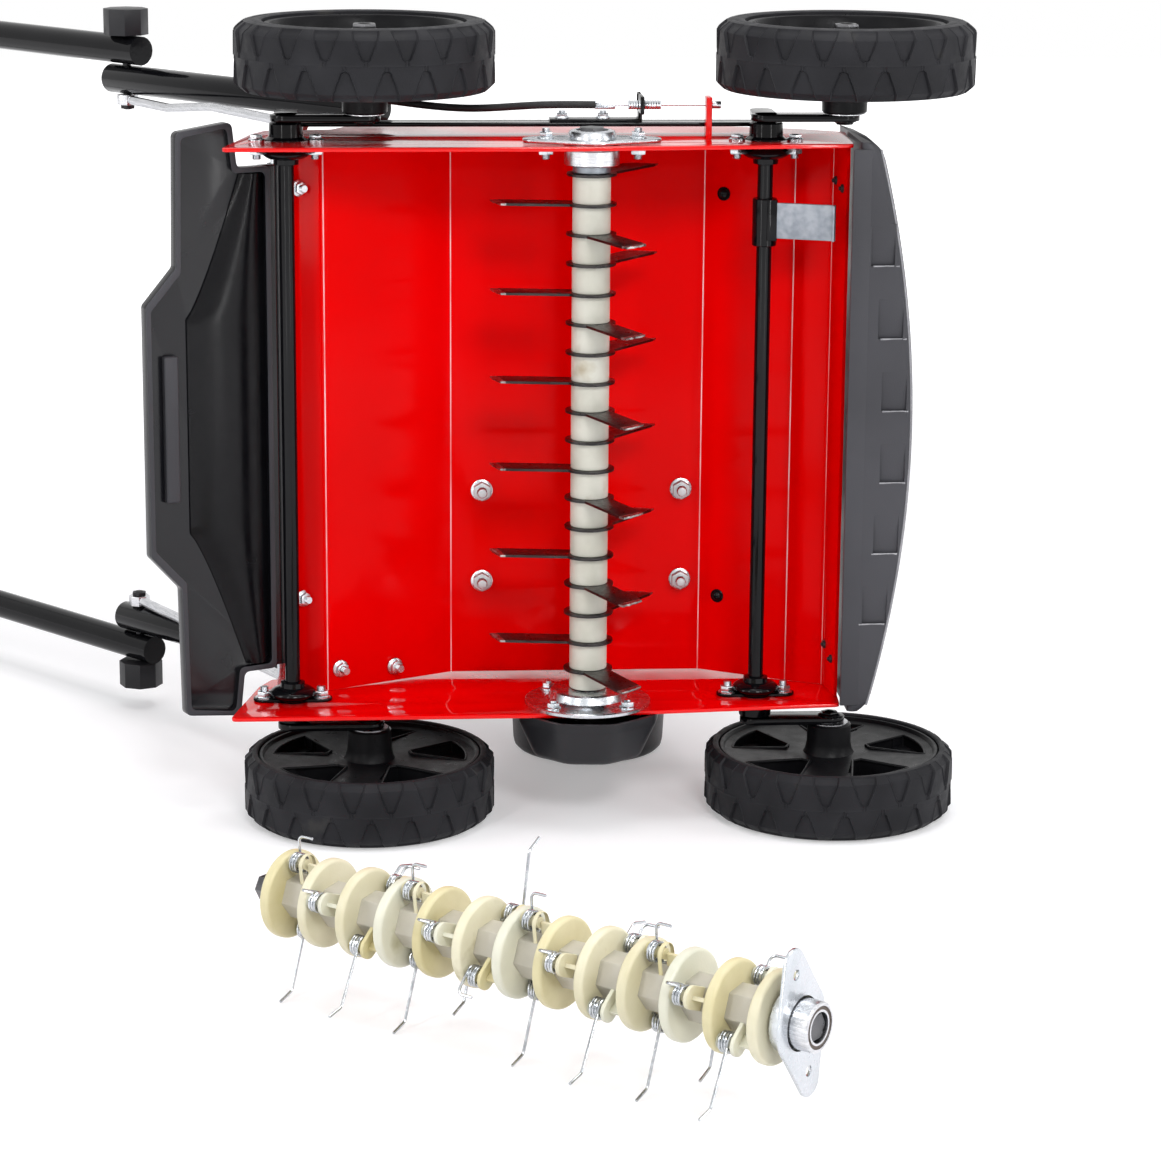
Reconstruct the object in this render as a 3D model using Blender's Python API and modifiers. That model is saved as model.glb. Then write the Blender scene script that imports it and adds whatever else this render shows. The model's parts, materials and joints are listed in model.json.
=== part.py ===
"""Walk-behind petrol lawn scarifier, lying on its left side with its spare spring-tine drum.

Metres, +Z up. +X is the machine's front, +Y the machine's top (away from its underside) and +Z its
right side, so that every hinge of the machine stands upright. The floor is z = 0. The origin lies on
the belt cover's outer land, on the engine's crankshaft axis.
"""
import math

import bmesh
import bpy
from mathutils import Matrix, Vector

# Clearances
GAP = 0.0003              # between pieces that seat on each other
RUN = 0.0008              # between a turning piece and what it turns in

# Wheels and axles
WHEEL_OUT = 0.0926        # side plate to the outer face of the wheel beside it
WHEEL_RADIUS = 0.100
WHEEL_WIDTH = 0.054
TYRE_DEPTH = 0.022
REAR_WHEEL_X = -0.1736
FRONT_WHEEL_X = 0.1967
CRANK_ARM = 0.0606        # axle rod to wheel centre
ROD_RADIUS = 0.006
ROD_Y = 0.100
ARM_THICK = 0.005
ARM_WIDTH = 0.024
STUB_RADIUS = 0.0065
NUT_RADIUS = 0.0105
BUSH_REACH = 0.0145       # outwards from the side plate
LEVER = 0.034             # axle rod to the link bar's pin
LEVER_PIN = 0.004
LINK_THICK = 0.003

# Deck and side plates
PLATE_SPAN = 0.4488       # outer face of one side plate to outer face of the other
PLATE_THICK = 0.003
DECK_Y = 0.1787           # underside of the engine's seat
DECK_THICK = 0.0025
SKIRT_Y = 0.0492          # lower edge of the side plates

# Knife drum
DRUM_Y = 0.0849
DRUM_PITCH = 0.02314
FIRST_KNIFE_IN = 0.0213   # right side plate to the first knife
LAST_KNIFE_IN = 0.0275    # left side plate to the last knife, at least
FIRST_ANGLE = 52.0
KNIFE_REACH = 0.080
KNIFE_THICK = 0.002
KNIFE_RING = 0.0195
KNIFE_HALF = 0.0115       # half the width of a knife's arm
SPACER_RADIUS = 0.0148
HEX_RADIUS = 0.0105       # centre to corner of the hexagonal shaft
BEARING_RADIUS = 0.0215
BEARING_WIDTH = 0.0120
FLANGE_HALF = 0.0535      # half the length of the diamond plate of a bearing
FLANGE_BOLTS = 0.071
FLANGE_THICK = 0.003

# Engine
CRANK_X = 0.0156
CRANK_Y = 0.2870
BOLT_X = 0.162
BOLT_Z = 0.0755
BOLT_MID_X = 0.0006
BOLT_INSET = 0.0825       # crankcase's left face to the middle of its four bolts
SHAFT_RADIUS = 0.0095
THROTTLE_AT = math.radians(150)
GRIP_AT = math.radians(60)
BLOCK_INSET = 0.0354      # left side plate to the crankcase
BLOCK_LENGTH = 0.202
BLOCK_RADIUS = 0.078
CYLINDER_LEAN = 155.0
BORE_BASE = 0.0783        # crank axis to the cylinder's foot
BARREL_END = 0.152
HEAD_END = 0.190
FIN_HALF = 0.060
SHROUD_RADIUS = 0.104
SHROUD_DEPTH = 0.062
STARTER_RADIUS = 0.080
TANK_Y = 0.4005
TANK_HEIGHT = 0.080

# Belt drive
BELT_OUT = 0.0176         # left side plate to the belt's middle
BELT_WIDTH = 0.010
BELT_THICK = 0.008
DRUM_PULLEY = 0.034       # radius of the groove's floor
ENGINE_PULLEY = 0.030
BELT_SLACK = 0.0016       # pulley's groove to the belt
IDLER_RADIUS = 0.012
IDLER_ARM = 0.0112        # belt's middle to the tensioner's arm
IDLER_ARM_THICK = 0.0025
COVER_WALL = 0.003
COVER_OUT = 0.0374        # left side plate to the cover's outer face
LAND_RADIUS = 0.064

# Handlebar
TUBE_RADIUS = 0.0125
FOOT_X = -0.160
FOOT_Y = 0.197
JOINT_X = -0.372
JOINT_Y = 0.425
BAR_LENGTH = 0.720
BAR_ANGLE = 131.0
BAR_BEND = 0.080
BAIL_PIVOT = 0.575        # along the upper handlebar, from its joint
BAIL_RADIUS = 0.0045
BOLT_RADIUS = 0.0036
LEVER_X = -0.258
LEVER_Y = 0.302

# Bumper, flap and catch
BUMPER_BACK = 0.2056
BUMPER_FRONT = 0.2520
BUMPER_BOW = 0.030
BUMPER_LOW = 0.062
BUMPER_HEIGHT = 0.123
BUMPER_WALL = 0.0035
LOUVRE_PITCH = 0.0571
LOUVRE_LENGTH = 0.0315
FLAP_HINGE_X = -0.2435
FLAP_HINGE_Y = 0.143
FLAP_LENGTH = 0.1145
FLAP_WALL = 0.003
FLAP_RIM = 0.010
FLAP_DROP = 26.0
HINGE_RADIUS = 0.0035

# Height cable
CABLE_RADIUS = 0.003
WIRE_INNER = 0.001
CABLE_Y = 0.1125
CABLE_OUT = 0.0255        # outwards from the right side plate
POST_X = 0.0900

# Spare spring-tine drum
TINE_MODULES = 12
TINE_SETS = 4
TINE_PITCH = 0.033
TINE_START = 0.022
DISC_RADIUS = 0.031
DISC_THICK = 0.008
TINE_HEX = 0.0095
HUB_RADIUS = 0.0150
PIN_RADIUS = 0.0040
PIN_CIRCLE = 0.0255
EYE_RADIUS = 0.0080
EYE_THICK = 0.003
WIRE_RADIUS = 0.0012
COIL_RADIUS = 0.0062
COIL_TURNS = 2.5         # at most; each coil ends where its foot lies nearest the hub
COIL_PITCH = 0.0031
COIL_POINTS = 8
LONG_TINE = 0.0430
SHORT_TINE = 0.0170
TIP = 0.0130
COIL_LIFT = 0.0022         # disc's face to the first turn's centre line
SPARE_X = -0.2520
SPARE_Y = -0.2780
SPARE_HEADING = -39.6
PHASES = (9.0, 69.0, 129.0)
# For each phase, the first and the second spring: whether its tine is long, and the tine's direction
TINES = (((False, 5.0), (True, 160.0)), ((False, 69.0), (True, 165.0)), ((True, 154.0), (False, 320.0)))
OTHER_WAY = {1: ((False, 69.0), (True, 308.0)), 7: ((False, 69.0), (True, 308.0)),
             5: ((False, 137.0), (True, 350.0))}

# Faces round a turned shape
WHEEL_SIDES = 14
RING_SIDES = 12

# Worked out from the sizes above
TRACK = PLATE_SPAN + 2 * WHEEL_OUT    # outer face of one wheel to outer face of the other
MID_Z = TRACK / 2
PLATE_L = WHEEL_OUT
PLATE_R = PLATE_L + PLATE_SPAN
INNER_L = PLATE_L + PLATE_THICK
INNER_R = PLATE_R - PLATE_THICK
REAR_ROD_X = REAR_WHEEL_X - CRANK_ARM
FRONT_ROD_X = FRONT_WHEEL_X - CRANK_ARM
DECK_TOP = DECK_Y + DECK_THICK
ENGINE_BASE = DECK_TOP + GAP
BLOCK_LOW = PLATE_L + BLOCK_INSET
BLOCK_HIGH = BLOCK_LOW + BLOCK_LENGTH
BOLT_MID_Z = BLOCK_LOW + BOLT_INSET
BAR_L = PLATE_L - GAP - TUBE_RADIUS
BAR_R = PLATE_R + GAP + TUBE_RADIUS
UPPER_L = BAR_L - 2 * TUBE_RADIUS - GAP
UPPER_R = BAR_R + 2 * TUBE_RADIUS + GAP
ARM_R = PLATE_R + BUSH_REACH + GAP
ARM_L = PLATE_L - BUSH_REACH - GAP - ARM_THICK
LINK_Z = PLATE_R + 0.0075
BEARING_Z = INNER_R - 0.0020 - BEARING_WIDTH
KNIVES = 1 + int((INNER_R - INNER_L - FIRST_KNIFE_IN - LAST_KNIFE_IN) / DRUM_PITCH)
FIRST_KNIFE_Z = INNER_R - FIRST_KNIFE_IN
LAST_KNIFE_Z = FIRST_KNIFE_Z - (KNIVES - 1) * DRUM_PITCH
BELT_Z = PLATE_L - BELT_OUT
COVER_SHOULDER = PLATE_L - COVER_OUT
IDLER_SHARE = 0.52        # how far the idler sits from the drum's axis towards the crankshaft's
IDLER_X = (CRANK_X - ENGINE_PULLEY) * IDLER_SHARE - DRUM_PULLEY * (1 - IDLER_SHARE) - BELT_SLACK + IDLER_RADIUS + 0.0007
IDLER_Y = DRUM_Y + (CRANK_Y - DRUM_Y) * IDLER_SHARE
PIVOT_X = IDLER_X + 0.030
PIVOT_Y = IDLER_Y - 0.014
IDLER_ARM_Z = BELT_Z + IDLER_ARM
BOLTS = [(BOLT_MID_X + i * BOLT_X / 2, BOLT_MID_Z + j * BOLT_Z / 2) for i in (-1, 1) for j in (-1, 1)]

# Scene set-up
for old in list(bpy.data.objects):
    bpy.data.objects.remove(old, do_unlink=True)

PARTS = bpy.data.collections.new("lawn_scarifier")
CUTTERS = bpy.data.collections.new("cutters")
bpy.context.scene.collection.children.link(PARTS)
bpy.context.scene.collection.children.link(CUTTERS)

MACHINE = bpy.data.objects.new("machine_frame", None)
MACHINE.location = (-CRANK_X, -CRANK_Y, 0.0)
PARTS.objects.link(MACHINE)


# Materials
def material(name, colour, roughness, metallic=0.0):
    mat = bpy.data.materials.new(name)
    mat.use_nodes = True
    shader = mat.node_tree.nodes["Principled BSDF"]
    shader.inputs["Base Color"].default_value = (*colour, 1.0)
    shader.inputs["Roughness"].default_value = roughness
    shader.inputs["Metallic"].default_value = metallic
    return mat


RED = material("red_enamel", (0.72, 0.0, 0.004), 0.25)
BLACK = material("black_paint", (0.012, 0.012, 0.013), 0.35)
PLASTIC = material("black_plastic", (0.030, 0.031, 0.034), 0.5)
GREY = material("bumper_plastic", (0.075, 0.077, 0.085), 0.55)
TYRE = material("tyre", (0.028, 0.029, 0.033), 0.7)
ZINC = material("zinc_plate", (0.70, 0.73, 0.76), 0.3, 1.0)
STEEL = material("dark_steel", (0.10, 0.10, 0.105), 0.4, 1.0)
CHROME = material("bearing_steel", (0.62, 0.62, 0.64), 0.2, 1.0)
NYLON = material("nylon", (0.76, 0.73, 0.60), 0.55)
CREAM = material("cream_nylon", (0.80, 0.73, 0.48), 0.5)
CASTING = material("casting", (0.45, 0.46, 0.47), 0.5, 1.0)
RUBBER = material("rubber", (0.02, 0.02, 0.02), 0.8)


# Building helpers
def adopt(name, mesh, mat, parent=MACHINE):
    """Put a mesh in the scene as the sub-part called name."""
    obj = bpy.data.objects.new(name, mesh)
    mesh.materials.clear()
    mesh.materials.append(mat)
    mesh.shade_smooth()
    mesh.set_sharp_from_angle(angle=math.radians(35))
    obj.parent = parent
    PARTS.objects.link(obj)
    return obj


def mesh_of(bm):
    mesh = bpy.data.meshes.new("shape")
    bmesh.ops.recalc_face_normals(bm, faces=bm.faces)
    bm.to_mesh(mesh)
    bm.free()
    return mesh


def rod(x, y, z0, z1, radius, sides=12, top=None, turn=0.0):
    """An upright cylinder, or a cone where its top radius differs."""
    bm = bmesh.new()
    bmesh.ops.create_cone(bm, cap_ends=True, segments=sides, radius1=radius,
                          radius2=radius if top is None else top, depth=z1 - z0)
    spin = Matrix.Rotation(math.radians(turn), 4, "Z")
    bmesh.ops.transform(bm, matrix=Matrix.Translation((x, y, (z0 + z1) / 2)) @ spin, verts=bm.verts)
    return mesh_of(bm)


def bar(start, end, radius, sides=10):
    """A straight round bar from start to end."""
    start, end = Vector(start), Vector(end)
    bm = bmesh.new()
    bmesh.ops.create_cone(bm, cap_ends=True, segments=sides, radius1=radius, radius2=radius,
                          depth=(end - start).length)
    aim = (end - start).to_track_quat("Z", "Y").to_matrix().to_4x4()
    bmesh.ops.transform(bm, matrix=Matrix.Translation((start + end) / 2) @ aim, verts=bm.verts)
    return mesh_of(bm)


def box(low, high, bevel=0.0, segments=1):
    low, high = Vector(low), Vector(high)
    bm = bmesh.new()
    bmesh.ops.create_cube(bm, size=1.0)
    size = Matrix.Diagonal((*(high - low), 1.0))
    bmesh.ops.transform(bm, matrix=Matrix.Translation((low + high) / 2) @ size, verts=bm.verts)
    if bevel:
        bmesh.ops.bevel(bm, geom=bm.edges, offset=bevel, segments=segments, profile=0.5, affect="EDGES")
    return mesh_of(bm)


def evaluated(obj):
    """The finished mesh of a helper object, welded and placed; the object itself goes."""
    bpy.context.view_layer.update()
    graph = bpy.context.evaluated_depsgraph_get()
    mesh = bpy.data.meshes.new_from_object(obj.evaluated_get(graph))
    bm = bmesh.new()
    bm.from_mesh(mesh)
    bmesh.ops.remove_doubles(bm, verts=bm.verts, dist=0.000002)
    bmesh.ops.transform(bm, matrix=obj.matrix_basis, verts=bm.verts)
    bmesh.ops.recalc_face_normals(bm, faces=bm.faces)
    bm.to_mesh(mesh)
    bm.free()
    bpy.data.objects.remove(obj, do_unlink=True)
    return mesh


def plate(outlines, z0, z1):
    """A flat plate between z0 and z1 from a closed outline and its holes."""
    curve = bpy.data.curves.new("outline", "CURVE")
    curve.dimensions = "2D"
    curve.fill_mode = "BOTH"
    curve.extrude = (z1 - z0) / 2
    for outline in outlines:
        spline = curve.splines.new("POLY")
        spline.points.add(len(outline) - 1)
        for point, (x, y) in zip(spline.points, outline):
            point.co = (x, y, 0.0, 1.0)
        spline.use_cyclic_u = True
    obj = bpy.data.objects.new("plate", curve)
    obj.location.z = (z0 + z1) / 2
    CUTTERS.objects.link(obj)
    return evaluated(obj)


def turned(profile, x, y, sides=24):
    """A shape turned about an upright axis from its section of radius and height.

    The section closes on itself, or it starts and ends on the axis."""
    mesh = bpy.data.meshes.new("profile")
    links = [(i, i + 1) for i in range(len(profile) - 1)]
    if profile[0][0] > 0.0:
        links.append((len(profile) - 1, 0))
    mesh.from_pydata([(r, 0.0, z) for r, z in profile], links, [])
    obj = bpy.data.objects.new("turned", mesh)
    CUTTERS.objects.link(obj)
    screw = obj.modifiers.new("turn", "SCREW")
    screw.steps = sides
    screw.render_steps = sides
    screw.use_merge_vertices = True
    screw.merge_threshold = 0.00001
    obj.location = (x, y, 0.0)
    return evaluated(obj)


def wire(points, radius, resolution=2):
    """A bent round bar, cord or spring along points."""
    curve = bpy.data.curves.new("wire", "CURVE")
    curve.dimensions = "3D"
    curve.bevel_depth = radius
    curve.bevel_resolution = resolution
    curve.use_fill_caps = True
    spline = curve.splines.new("POLY")
    spline.points.add(len(points) - 1)
    for point, co in zip(spline.points, points):
        point.co = (*co, 1.0)
    obj = bpy.data.objects.new("wire", curve)
    CUTTERS.objects.link(obj)
    return evaluated(obj)


def loft(sections):
    """A solid between outlines of as many points, each an outline and its height."""
    bm = bmesh.new()
    rings = [[bm.verts.new((x, y, z)) for x, y in outline] for outline, z in sections]
    for first, second in zip(rings, rings[1:]):
        for a, b, c, d in zip(first, first[1:] + first[:1], second[1:] + second[:1], second):
            bm.faces.new((a, b, c, d))
    bm.faces.new(rings[0])
    bm.faces.new(rings[-1])
    return mesh_of(bm)


def tool(mesh, parent):
    """A shape that cuts or joins another one and isn't a sub-part itself."""
    obj = bpy.data.objects.new("tool", mesh)
    obj.parent = parent
    obj.hide_render = True
    obj.display_type = "WIRE"
    CUTTERS.objects.link(obj)
    return obj


def combine(obj, operation, meshes):
    for mesh in meshes:
        step = obj.modifiers.new(operation.lower(), "BOOLEAN")
        step.operation = operation
        step.solver = "EXACT"
        step.object = tool(mesh, obj.parent)
    return obj


def cut(obj, *meshes):
    return combine(obj, "DIFFERENCE", meshes)


def fuse(obj, *meshes):
    return combine(obj, "UNION", meshes)


def merged(meshes):
    """Solids that don't touch each other as one tool."""
    bm = bmesh.new()
    for mesh in meshes:
        bm.from_mesh(mesh)
    joined = bpy.data.meshes.new("group")
    bm.to_mesh(joined)
    bm.free()
    return joined


def moved(mesh, matrix):
    copy = mesh.copy()
    copy.transform(matrix)
    return copy


# Outline helpers, in the XY plane
def arc(x, y, radius, start, end, steps):
    turns = [math.radians(start + (end - start) * i / steps) for i in range(steps + 1)]
    return [(x + radius * math.cos(a), y + radius * math.sin(a)) for a in turns]


def circle(x, y, radius, sides=16, turn=0.0):
    return arc(x, y, radius, turn, turn + 360 - 360 / sides, sides - 1)


def slot_outline(x0, y0, x1, y1, radius, steps=5):
    """A bar with round ends from one point to another."""
    lean = math.degrees(math.atan2(y1 - y0, x1 - x0))
    far = arc(x1, y1, radius, lean - 90, lean + 90, steps)
    near = arc(x0, y0, radius, lean + 90, lean + 270, steps)
    return far + near


def belt_outline(radius_low, radius_high, steps=6):
    """The line round a circle at the drum's axis and one at the crankshaft's."""
    dx, dy = CRANK_X, CRANK_Y - DRUM_Y
    lean = math.degrees(math.atan2(dy, dx))
    spread = math.degrees(math.acos((radius_low - radius_high) / math.hypot(dx, dy)))
    high = arc(CRANK_X, CRANK_Y, radius_high, lean - spread, lean + spread, steps)
    low = arc(0.0, DRUM_Y, radius_low, lean + spread, lean + 360 - spread, steps)
    return high + low


def diamond_outline(steps=3):
    """The plate of a flange bearing: two pointed lobes with round ends and a round waist."""
    nose, waist = 0.011, 0.027
    lobe = FLANGE_HALF - nose
    return (arc(lobe, 0, nose, -60, 60, steps) + arc(0, 0, waist, 62, 118, steps)
            + arc(-lobe, 0, nose, 120, 240, steps) + arc(0, 0, waist, 242, 298, steps))


# Deck
def sheet_outline(line, thickness):
    """A folded sheet's section: the line of its underside and the same line moved up."""
    upper = []
    for i, here in enumerate(line):
        before, after = line[max(i - 1, 0)], line[min(i + 1, len(line) - 1)]
        first = (Vector(here) - Vector(before)) if i else (Vector(after) - Vector(here))
        second = (Vector(after) - Vector(here)) if i < len(line) - 1 else first
        bisector = (first.normalized() + second.normalized()).normalized()
        normal = Vector((-bisector.y, bisector.x))
        square = Vector((-first.y, first.x)).normalized()
        upper.append(tuple(Vector(here) - normal * thickness * -1 / normal.dot(square)))
    return line + upper[::-1]


def make_deck():
    under = [(-0.2350, 0.1430), (-0.2063, 0.1250), (-0.1055, DECK_Y), (0.0975, DECK_Y),
             (0.1650, 0.1400), (0.1940, 0.1270), (0.1985, 0.0900)]
    section = sheet_outline(under, DECK_THICK)
    deck = adopt("deck_roof", plate([section], INNER_L + GAP, INNER_R - GAP), RED)
    cut(deck, merged([bar((x, DECK_Y - 0.01, z), (x, DECK_TOP + 0.01, z), 0.0050, 6) for x, z in BOLTS]))


def side_outline():
    return [(-0.2826, SKIRT_Y), (-0.020, SKIRT_Y), (0.2005, 0.070), (0.2050, 0.150),
            (0.1700, 0.172), (0.1050, 0.192), (-0.130, 0.192), (-0.140, 0.212), (-0.176, 0.212),
            (-0.200, 0.170), (-0.252, 0.162), (-0.262, 0.140)]


def left_outline():
    """The left plate also carries the belt cover, so it rises round the crankshaft."""
    tower = [(0.1050, 0.192), (0.100, 0.300), (0.072, 0.360), (-0.040, 0.360), (-0.070, 0.300),
             (-0.070, 0.192)]
    line = side_outline()
    return line[:5] + tower + line[6:]


def make_side_plates():
    rods = (REAR_ROD_X, FRONT_ROD_X)
    bores = [circle(x, ROD_Y, 0.0121, 8) for x in rods]
    shafts = [circle(0, DRUM_Y, 0.0305, RING_SIDES), circle(CRANK_X, CRANK_Y, 0.030, RING_SIDES)]
    left = adopt("side_plate_left", plate([left_outline(), *shafts, *bores], PLATE_L, INNER_L), RED)
    fuse(left, rod(PIVOT_X, PIVOT_Y, IDLER_ARM_Z - 0.001, PLATE_L + 0.001, 0.0035, 8))
    right = plate([side_outline(), circle(0, DRUM_Y, BEARING_RADIUS + 0.0015, RING_SIDES), *bores], INNER_R, PLATE_R)
    right = adopt("side_plate_right", right, RED)
    fuse(right, box((POST_X, CABLE_Y - 0.008, PLATE_R - 0.001), (POST_X + 0.0045, CABLE_Y + 0.008, PLATE_R + 0.032)))
    cut(right, bar((POST_X - 0.01, CABLE_Y, PLATE_R + CABLE_OUT), (POST_X + 0.02, CABLE_Y, PLATE_R + CABLE_OUT),
                   WIRE_INNER + GAP, 6))


# Front bumper
def bumper_front(z):
    """The bumper's face bows forward between the side plates and rounds off at its ends."""
    across = (z - MID_Z) / (PLATE_SPAN / 2)
    return BUMPER_FRONT - BUMPER_BOW * across * across


def bumper_section(z, wall, drawn_in):
    front = bumper_front(z) - drawn_in - wall
    low, high = BUMPER_LOW + wall, BUMPER_LOW + BUMPER_HEIGHT - wall
    back = BUMPER_BACK - (0.01 if wall else 0.0)
    return [(back, low), (front - 0.008, low), (front, low + 0.010), (front - 0.002, high - 0.025),
            (front - 0.009, high), (back, high)]


def bumper_solid(wall, steps=4):
    half = PLATE_SPAN / 2 + 0.002 - wall
    sections = []
    for i in range(steps + 1):
        z = MID_Z + half * (2 * i / steps - 1)
        drawn_in = 0.006 if i in (0, steps) else 0.0
        sections.append((bumper_section(z, wall, drawn_in), z))
    second = MID_Z - half + 0.010
    last = MID_Z + half - 0.010
    sections.insert(1, (bumper_section(second, wall, 0.0), second))
    sections.insert(-1, (bumper_section(last, wall, 0.0), last))
    return loft(sections)


def make_bumper():
    bumper = adopt("front_bumper", bumper_solid(0.0), GREY)
    cut(bumper, bumper_solid(BUMPER_WALL))
    slots = []
    for k in range(6):
        z = MID_Z + (k - 2.5) * LOUVRE_PITCH
        front = bumper_front(z)
        slots.append(box((front - 0.024, BUMPER_LOW - 0.01, z - LOUVRE_LENGTH / 2),
                         (front - 0.011, BUMPER_LOW + 0.01, z + LOUVRE_LENGTH / 2)))
    cut(bumper, merged(slots))


# Rear flap
def flap_outline(wall):
    """The flap's plan: distance behind its hinge and distance across, drawn in by wall."""
    side = PLATE_SPAN / 2 - wall
    half = [(0.008 + wall, side - 0.0229), (0.036 + wall, side - 0.0229), (0.040 + wall, side + 0.0126),
            (0.087 - wall, side + 0.0066), (0.089 - wall, side - 0.0974), (FLAP_LENGTH - wall, side - 0.1254)]
    return [(-s, w) for s, w in half] + [(-s, -w) for s, w in half[::-1]]


def make_rear_flap():
    lay = Matrix.Rotation(math.radians(90), 4, "X")
    tilt = Matrix.Translation((FLAP_HINGE_X, FLAP_HINGE_Y - 0.006, MID_Z))
    tilt = tilt @ Matrix.Rotation(math.radians(FLAP_DROP), 4, "Z")
    tray = plate([flap_outline(0.0)], -FLAP_WALL / 2, FLAP_RIM - FLAP_WALL / 2)
    pocket = plate([flap_outline(0.0045)], FLAP_WALL / 2, FLAP_RIM)
    flap = adopt("rear_flap", moved(tray, tilt @ lay), PLASTIC)
    half = MID_Z - INNER_L - 0.020
    strip = box((-0.096, -0.007, -0.060), (-0.083, 0.0, 0.060))
    neck = box((-0.014, -0.0014, -half), (0.0, 0.0052, half))
    barrel = rod(FLAP_HINGE_X, FLAP_HINGE_Y, MID_Z - half - 0.001, MID_Z + half + 0.001, 0.0062, 8)
    cut(flap, moved(pocket, tilt @ lay))
    fuse(flap, moved(strip, tilt), moved(neck, tilt), barrel)
    cut(flap, rod(FLAP_HINGE_X, FLAP_HINGE_Y, 0.0, TRACK, HINGE_RADIUS + 0.0006, 8))
    adopt("flap_hinge_rod", rod(FLAP_HINGE_X, FLAP_HINGE_Y, INNER_L + GAP, INNER_R - GAP, HINGE_RADIUS, 8), ZINC)


# Axles and wheels
def make_axle(name, rod_x, wheel_x):
    """A rod with a crank arm and a stub at each end, and the lever of the link bar."""
    axle = adopt(name, rod(rod_x, ROD_Y, ARM_L + 0.001, ARM_R + ARM_THICK - 0.001, ROD_RADIUS, 8), BLACK)
    arm = slot_outline(rod_x, ROD_Y, wheel_x, ROD_Y, ARM_WIDTH / 2, 3)
    lever = slot_outline(rod_x, ROD_Y, rod_x, ROD_Y + LEVER, ARM_WIDTH / 2 - 0.003, 3)
    fuse(axle, plate([arm], ARM_L, ARM_L + ARM_THICK), plate([arm], ARM_R, ARM_R + ARM_THICK))
    fuse(axle, plate([lever], ARM_R, ARM_R + ARM_THICK))
    fuse(axle, rod(rod_x, ROD_Y + LEVER, LINK_Z - 0.001, ARM_R + 0.001, LEVER_PIN, 8))
    stubs = [rod(wheel_x, ROD_Y, 0.004, ARM_L + 0.001, STUB_RADIUS, 8),
             rod(wheel_x, ROD_Y, ARM_R + ARM_THICK - 0.001, TRACK - 0.004, STUB_RADIUS, 8)]
    nuts = [rod(wheel_x, ROD_Y, 0.0025, 0.0092, NUT_RADIUS, 6),
            rod(wheel_x, ROD_Y, TRACK - 0.0092, TRACK - 0.0025, NUT_RADIUS, 6)]
    fuse(axle, merged(stubs), merged(nuts))


def make_bush(name, x, face, inner, side):
    """A collared cup that carries a rod in a side plate."""
    bore = ROD_RADIUS + 0.0006
    seat, back = face + side * GAP, inner - side * GAP
    section = [(bore, face + side * BUSH_REACH), (0.0096, face + side * BUSH_REACH), (0.0160, seat), (0.0117, seat),
               (0.0117, back), (bore, back - side * 0.016)]
    adopt(name, turned(section, x, ROD_Y, 8), BLACK)


def make_link_bar():
    """The flat bar that turns both axles together, with the bracket of the height cable."""
    y = ROD_Y + LEVER
    outline = slot_outline(REAR_ROD_X, y, FRONT_ROD_X, y, 0.0115, 3)
    slots = [slot_outline(x, y - 0.002, x, y, LEVER_PIN + RUN, 3) for x in (REAR_ROD_X, FRONT_ROD_X)]
    link = adopt("link_bar", plate([outline, *slots], LINK_Z, LINK_Z + LINK_THICK), BLACK)
    top = PLATE_R + CABLE_OUT + 0.007
    ear = box((0.0390, CABLE_Y - 0.007, PLATE_R + CABLE_OUT - 0.007), (0.0420, y + 0.009, top))
    foot = box((-0.030, y - 0.009, LINK_Z + LINK_THICK - 0.001), (0.0420, y + 0.009, LINK_Z + LINK_THICK + 0.0025))
    web = box((0.0390, y - 0.009, LINK_Z + LINK_THICK), (0.0420, y + 0.009, top))
    barrel = bar((0.0300, CABLE_Y, PLATE_R + CABLE_OUT), (0.0560, CABLE_Y, PLATE_R + CABLE_OUT), 0.0038, 6)
    fuse(link, foot, web, ear, barrel)
    cut(link, bar((0.02, CABLE_Y, PLATE_R + CABLE_OUT), (0.07, CABLE_Y, PLATE_R + CABLE_OUT), WIRE_INNER + GAP, 6))


def mirrored(profile, right):
    """A profile of radius and depth from a wheel's outer face, at its side of the machine."""
    return [(r, TRACK - d if right else d) for r, d in profile]


def wheel_opening(x, angle):
    """A drop-shaped opening between two spokes of a wheel."""
    outward = Vector((math.cos(angle), math.sin(angle)))
    across = Vector((-outward.y, outward.x))
    turn = math.degrees(angle)
    wide = arc(*(Vector((x, ROD_Y)) + outward * 0.052 + across * 0.006), 0.013, turn - 80, turn + 100, 2)
    point = Vector((x, ROD_Y)) + outward * 0.026 - across * 0.004
    return wide + [tuple(point)]


def make_wheel(end, side, x):
    right = side == "right"
    hub_end = TRACK - ARM_R - ARM_THICK - RUN
    bore, rim = STUB_RADIUS + RUN, WHEEL_RADIUS - TYRE_DEPTH
    section = [(bore, 0.0100), (0.0165, 0.0100), (0.0690, 0.0190), (rim, 0.0030), (rim, WHEEL_WIDTH - 0.003),
               (0.0690, 0.0270), (0.0165, hub_end), (bore, hub_end)]
    wheel = adopt("wheel_%s_%s" % (end, side), turned(mirrored(section, right), x, ROD_Y, WHEEL_SIDES), PLASTIC)
    depths = sorted((TRACK - 0.012, TRACK - 0.036)) if right else (0.012, 0.036)
    drops = [plate([wheel_opening(x, math.tau * k / 5 + 0.4)], *depths) for k in range(5)]
    cut(wheel, merged(drops))
    tread = [(rim + GAP, 0.0), (0.0900, 0.0), (WHEEL_RADIUS, 0.0080), (WHEEL_RADIUS, WHEEL_WIDTH - 0.006),
             (0.0930, WHEEL_WIDTH), (rim + GAP, WHEEL_WIDTH)]
    adopt("tyre_%s_%s" % (end, side), turned(mirrored(tread, right), x, ROD_Y, WHEEL_SIDES), TYRE)


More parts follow.
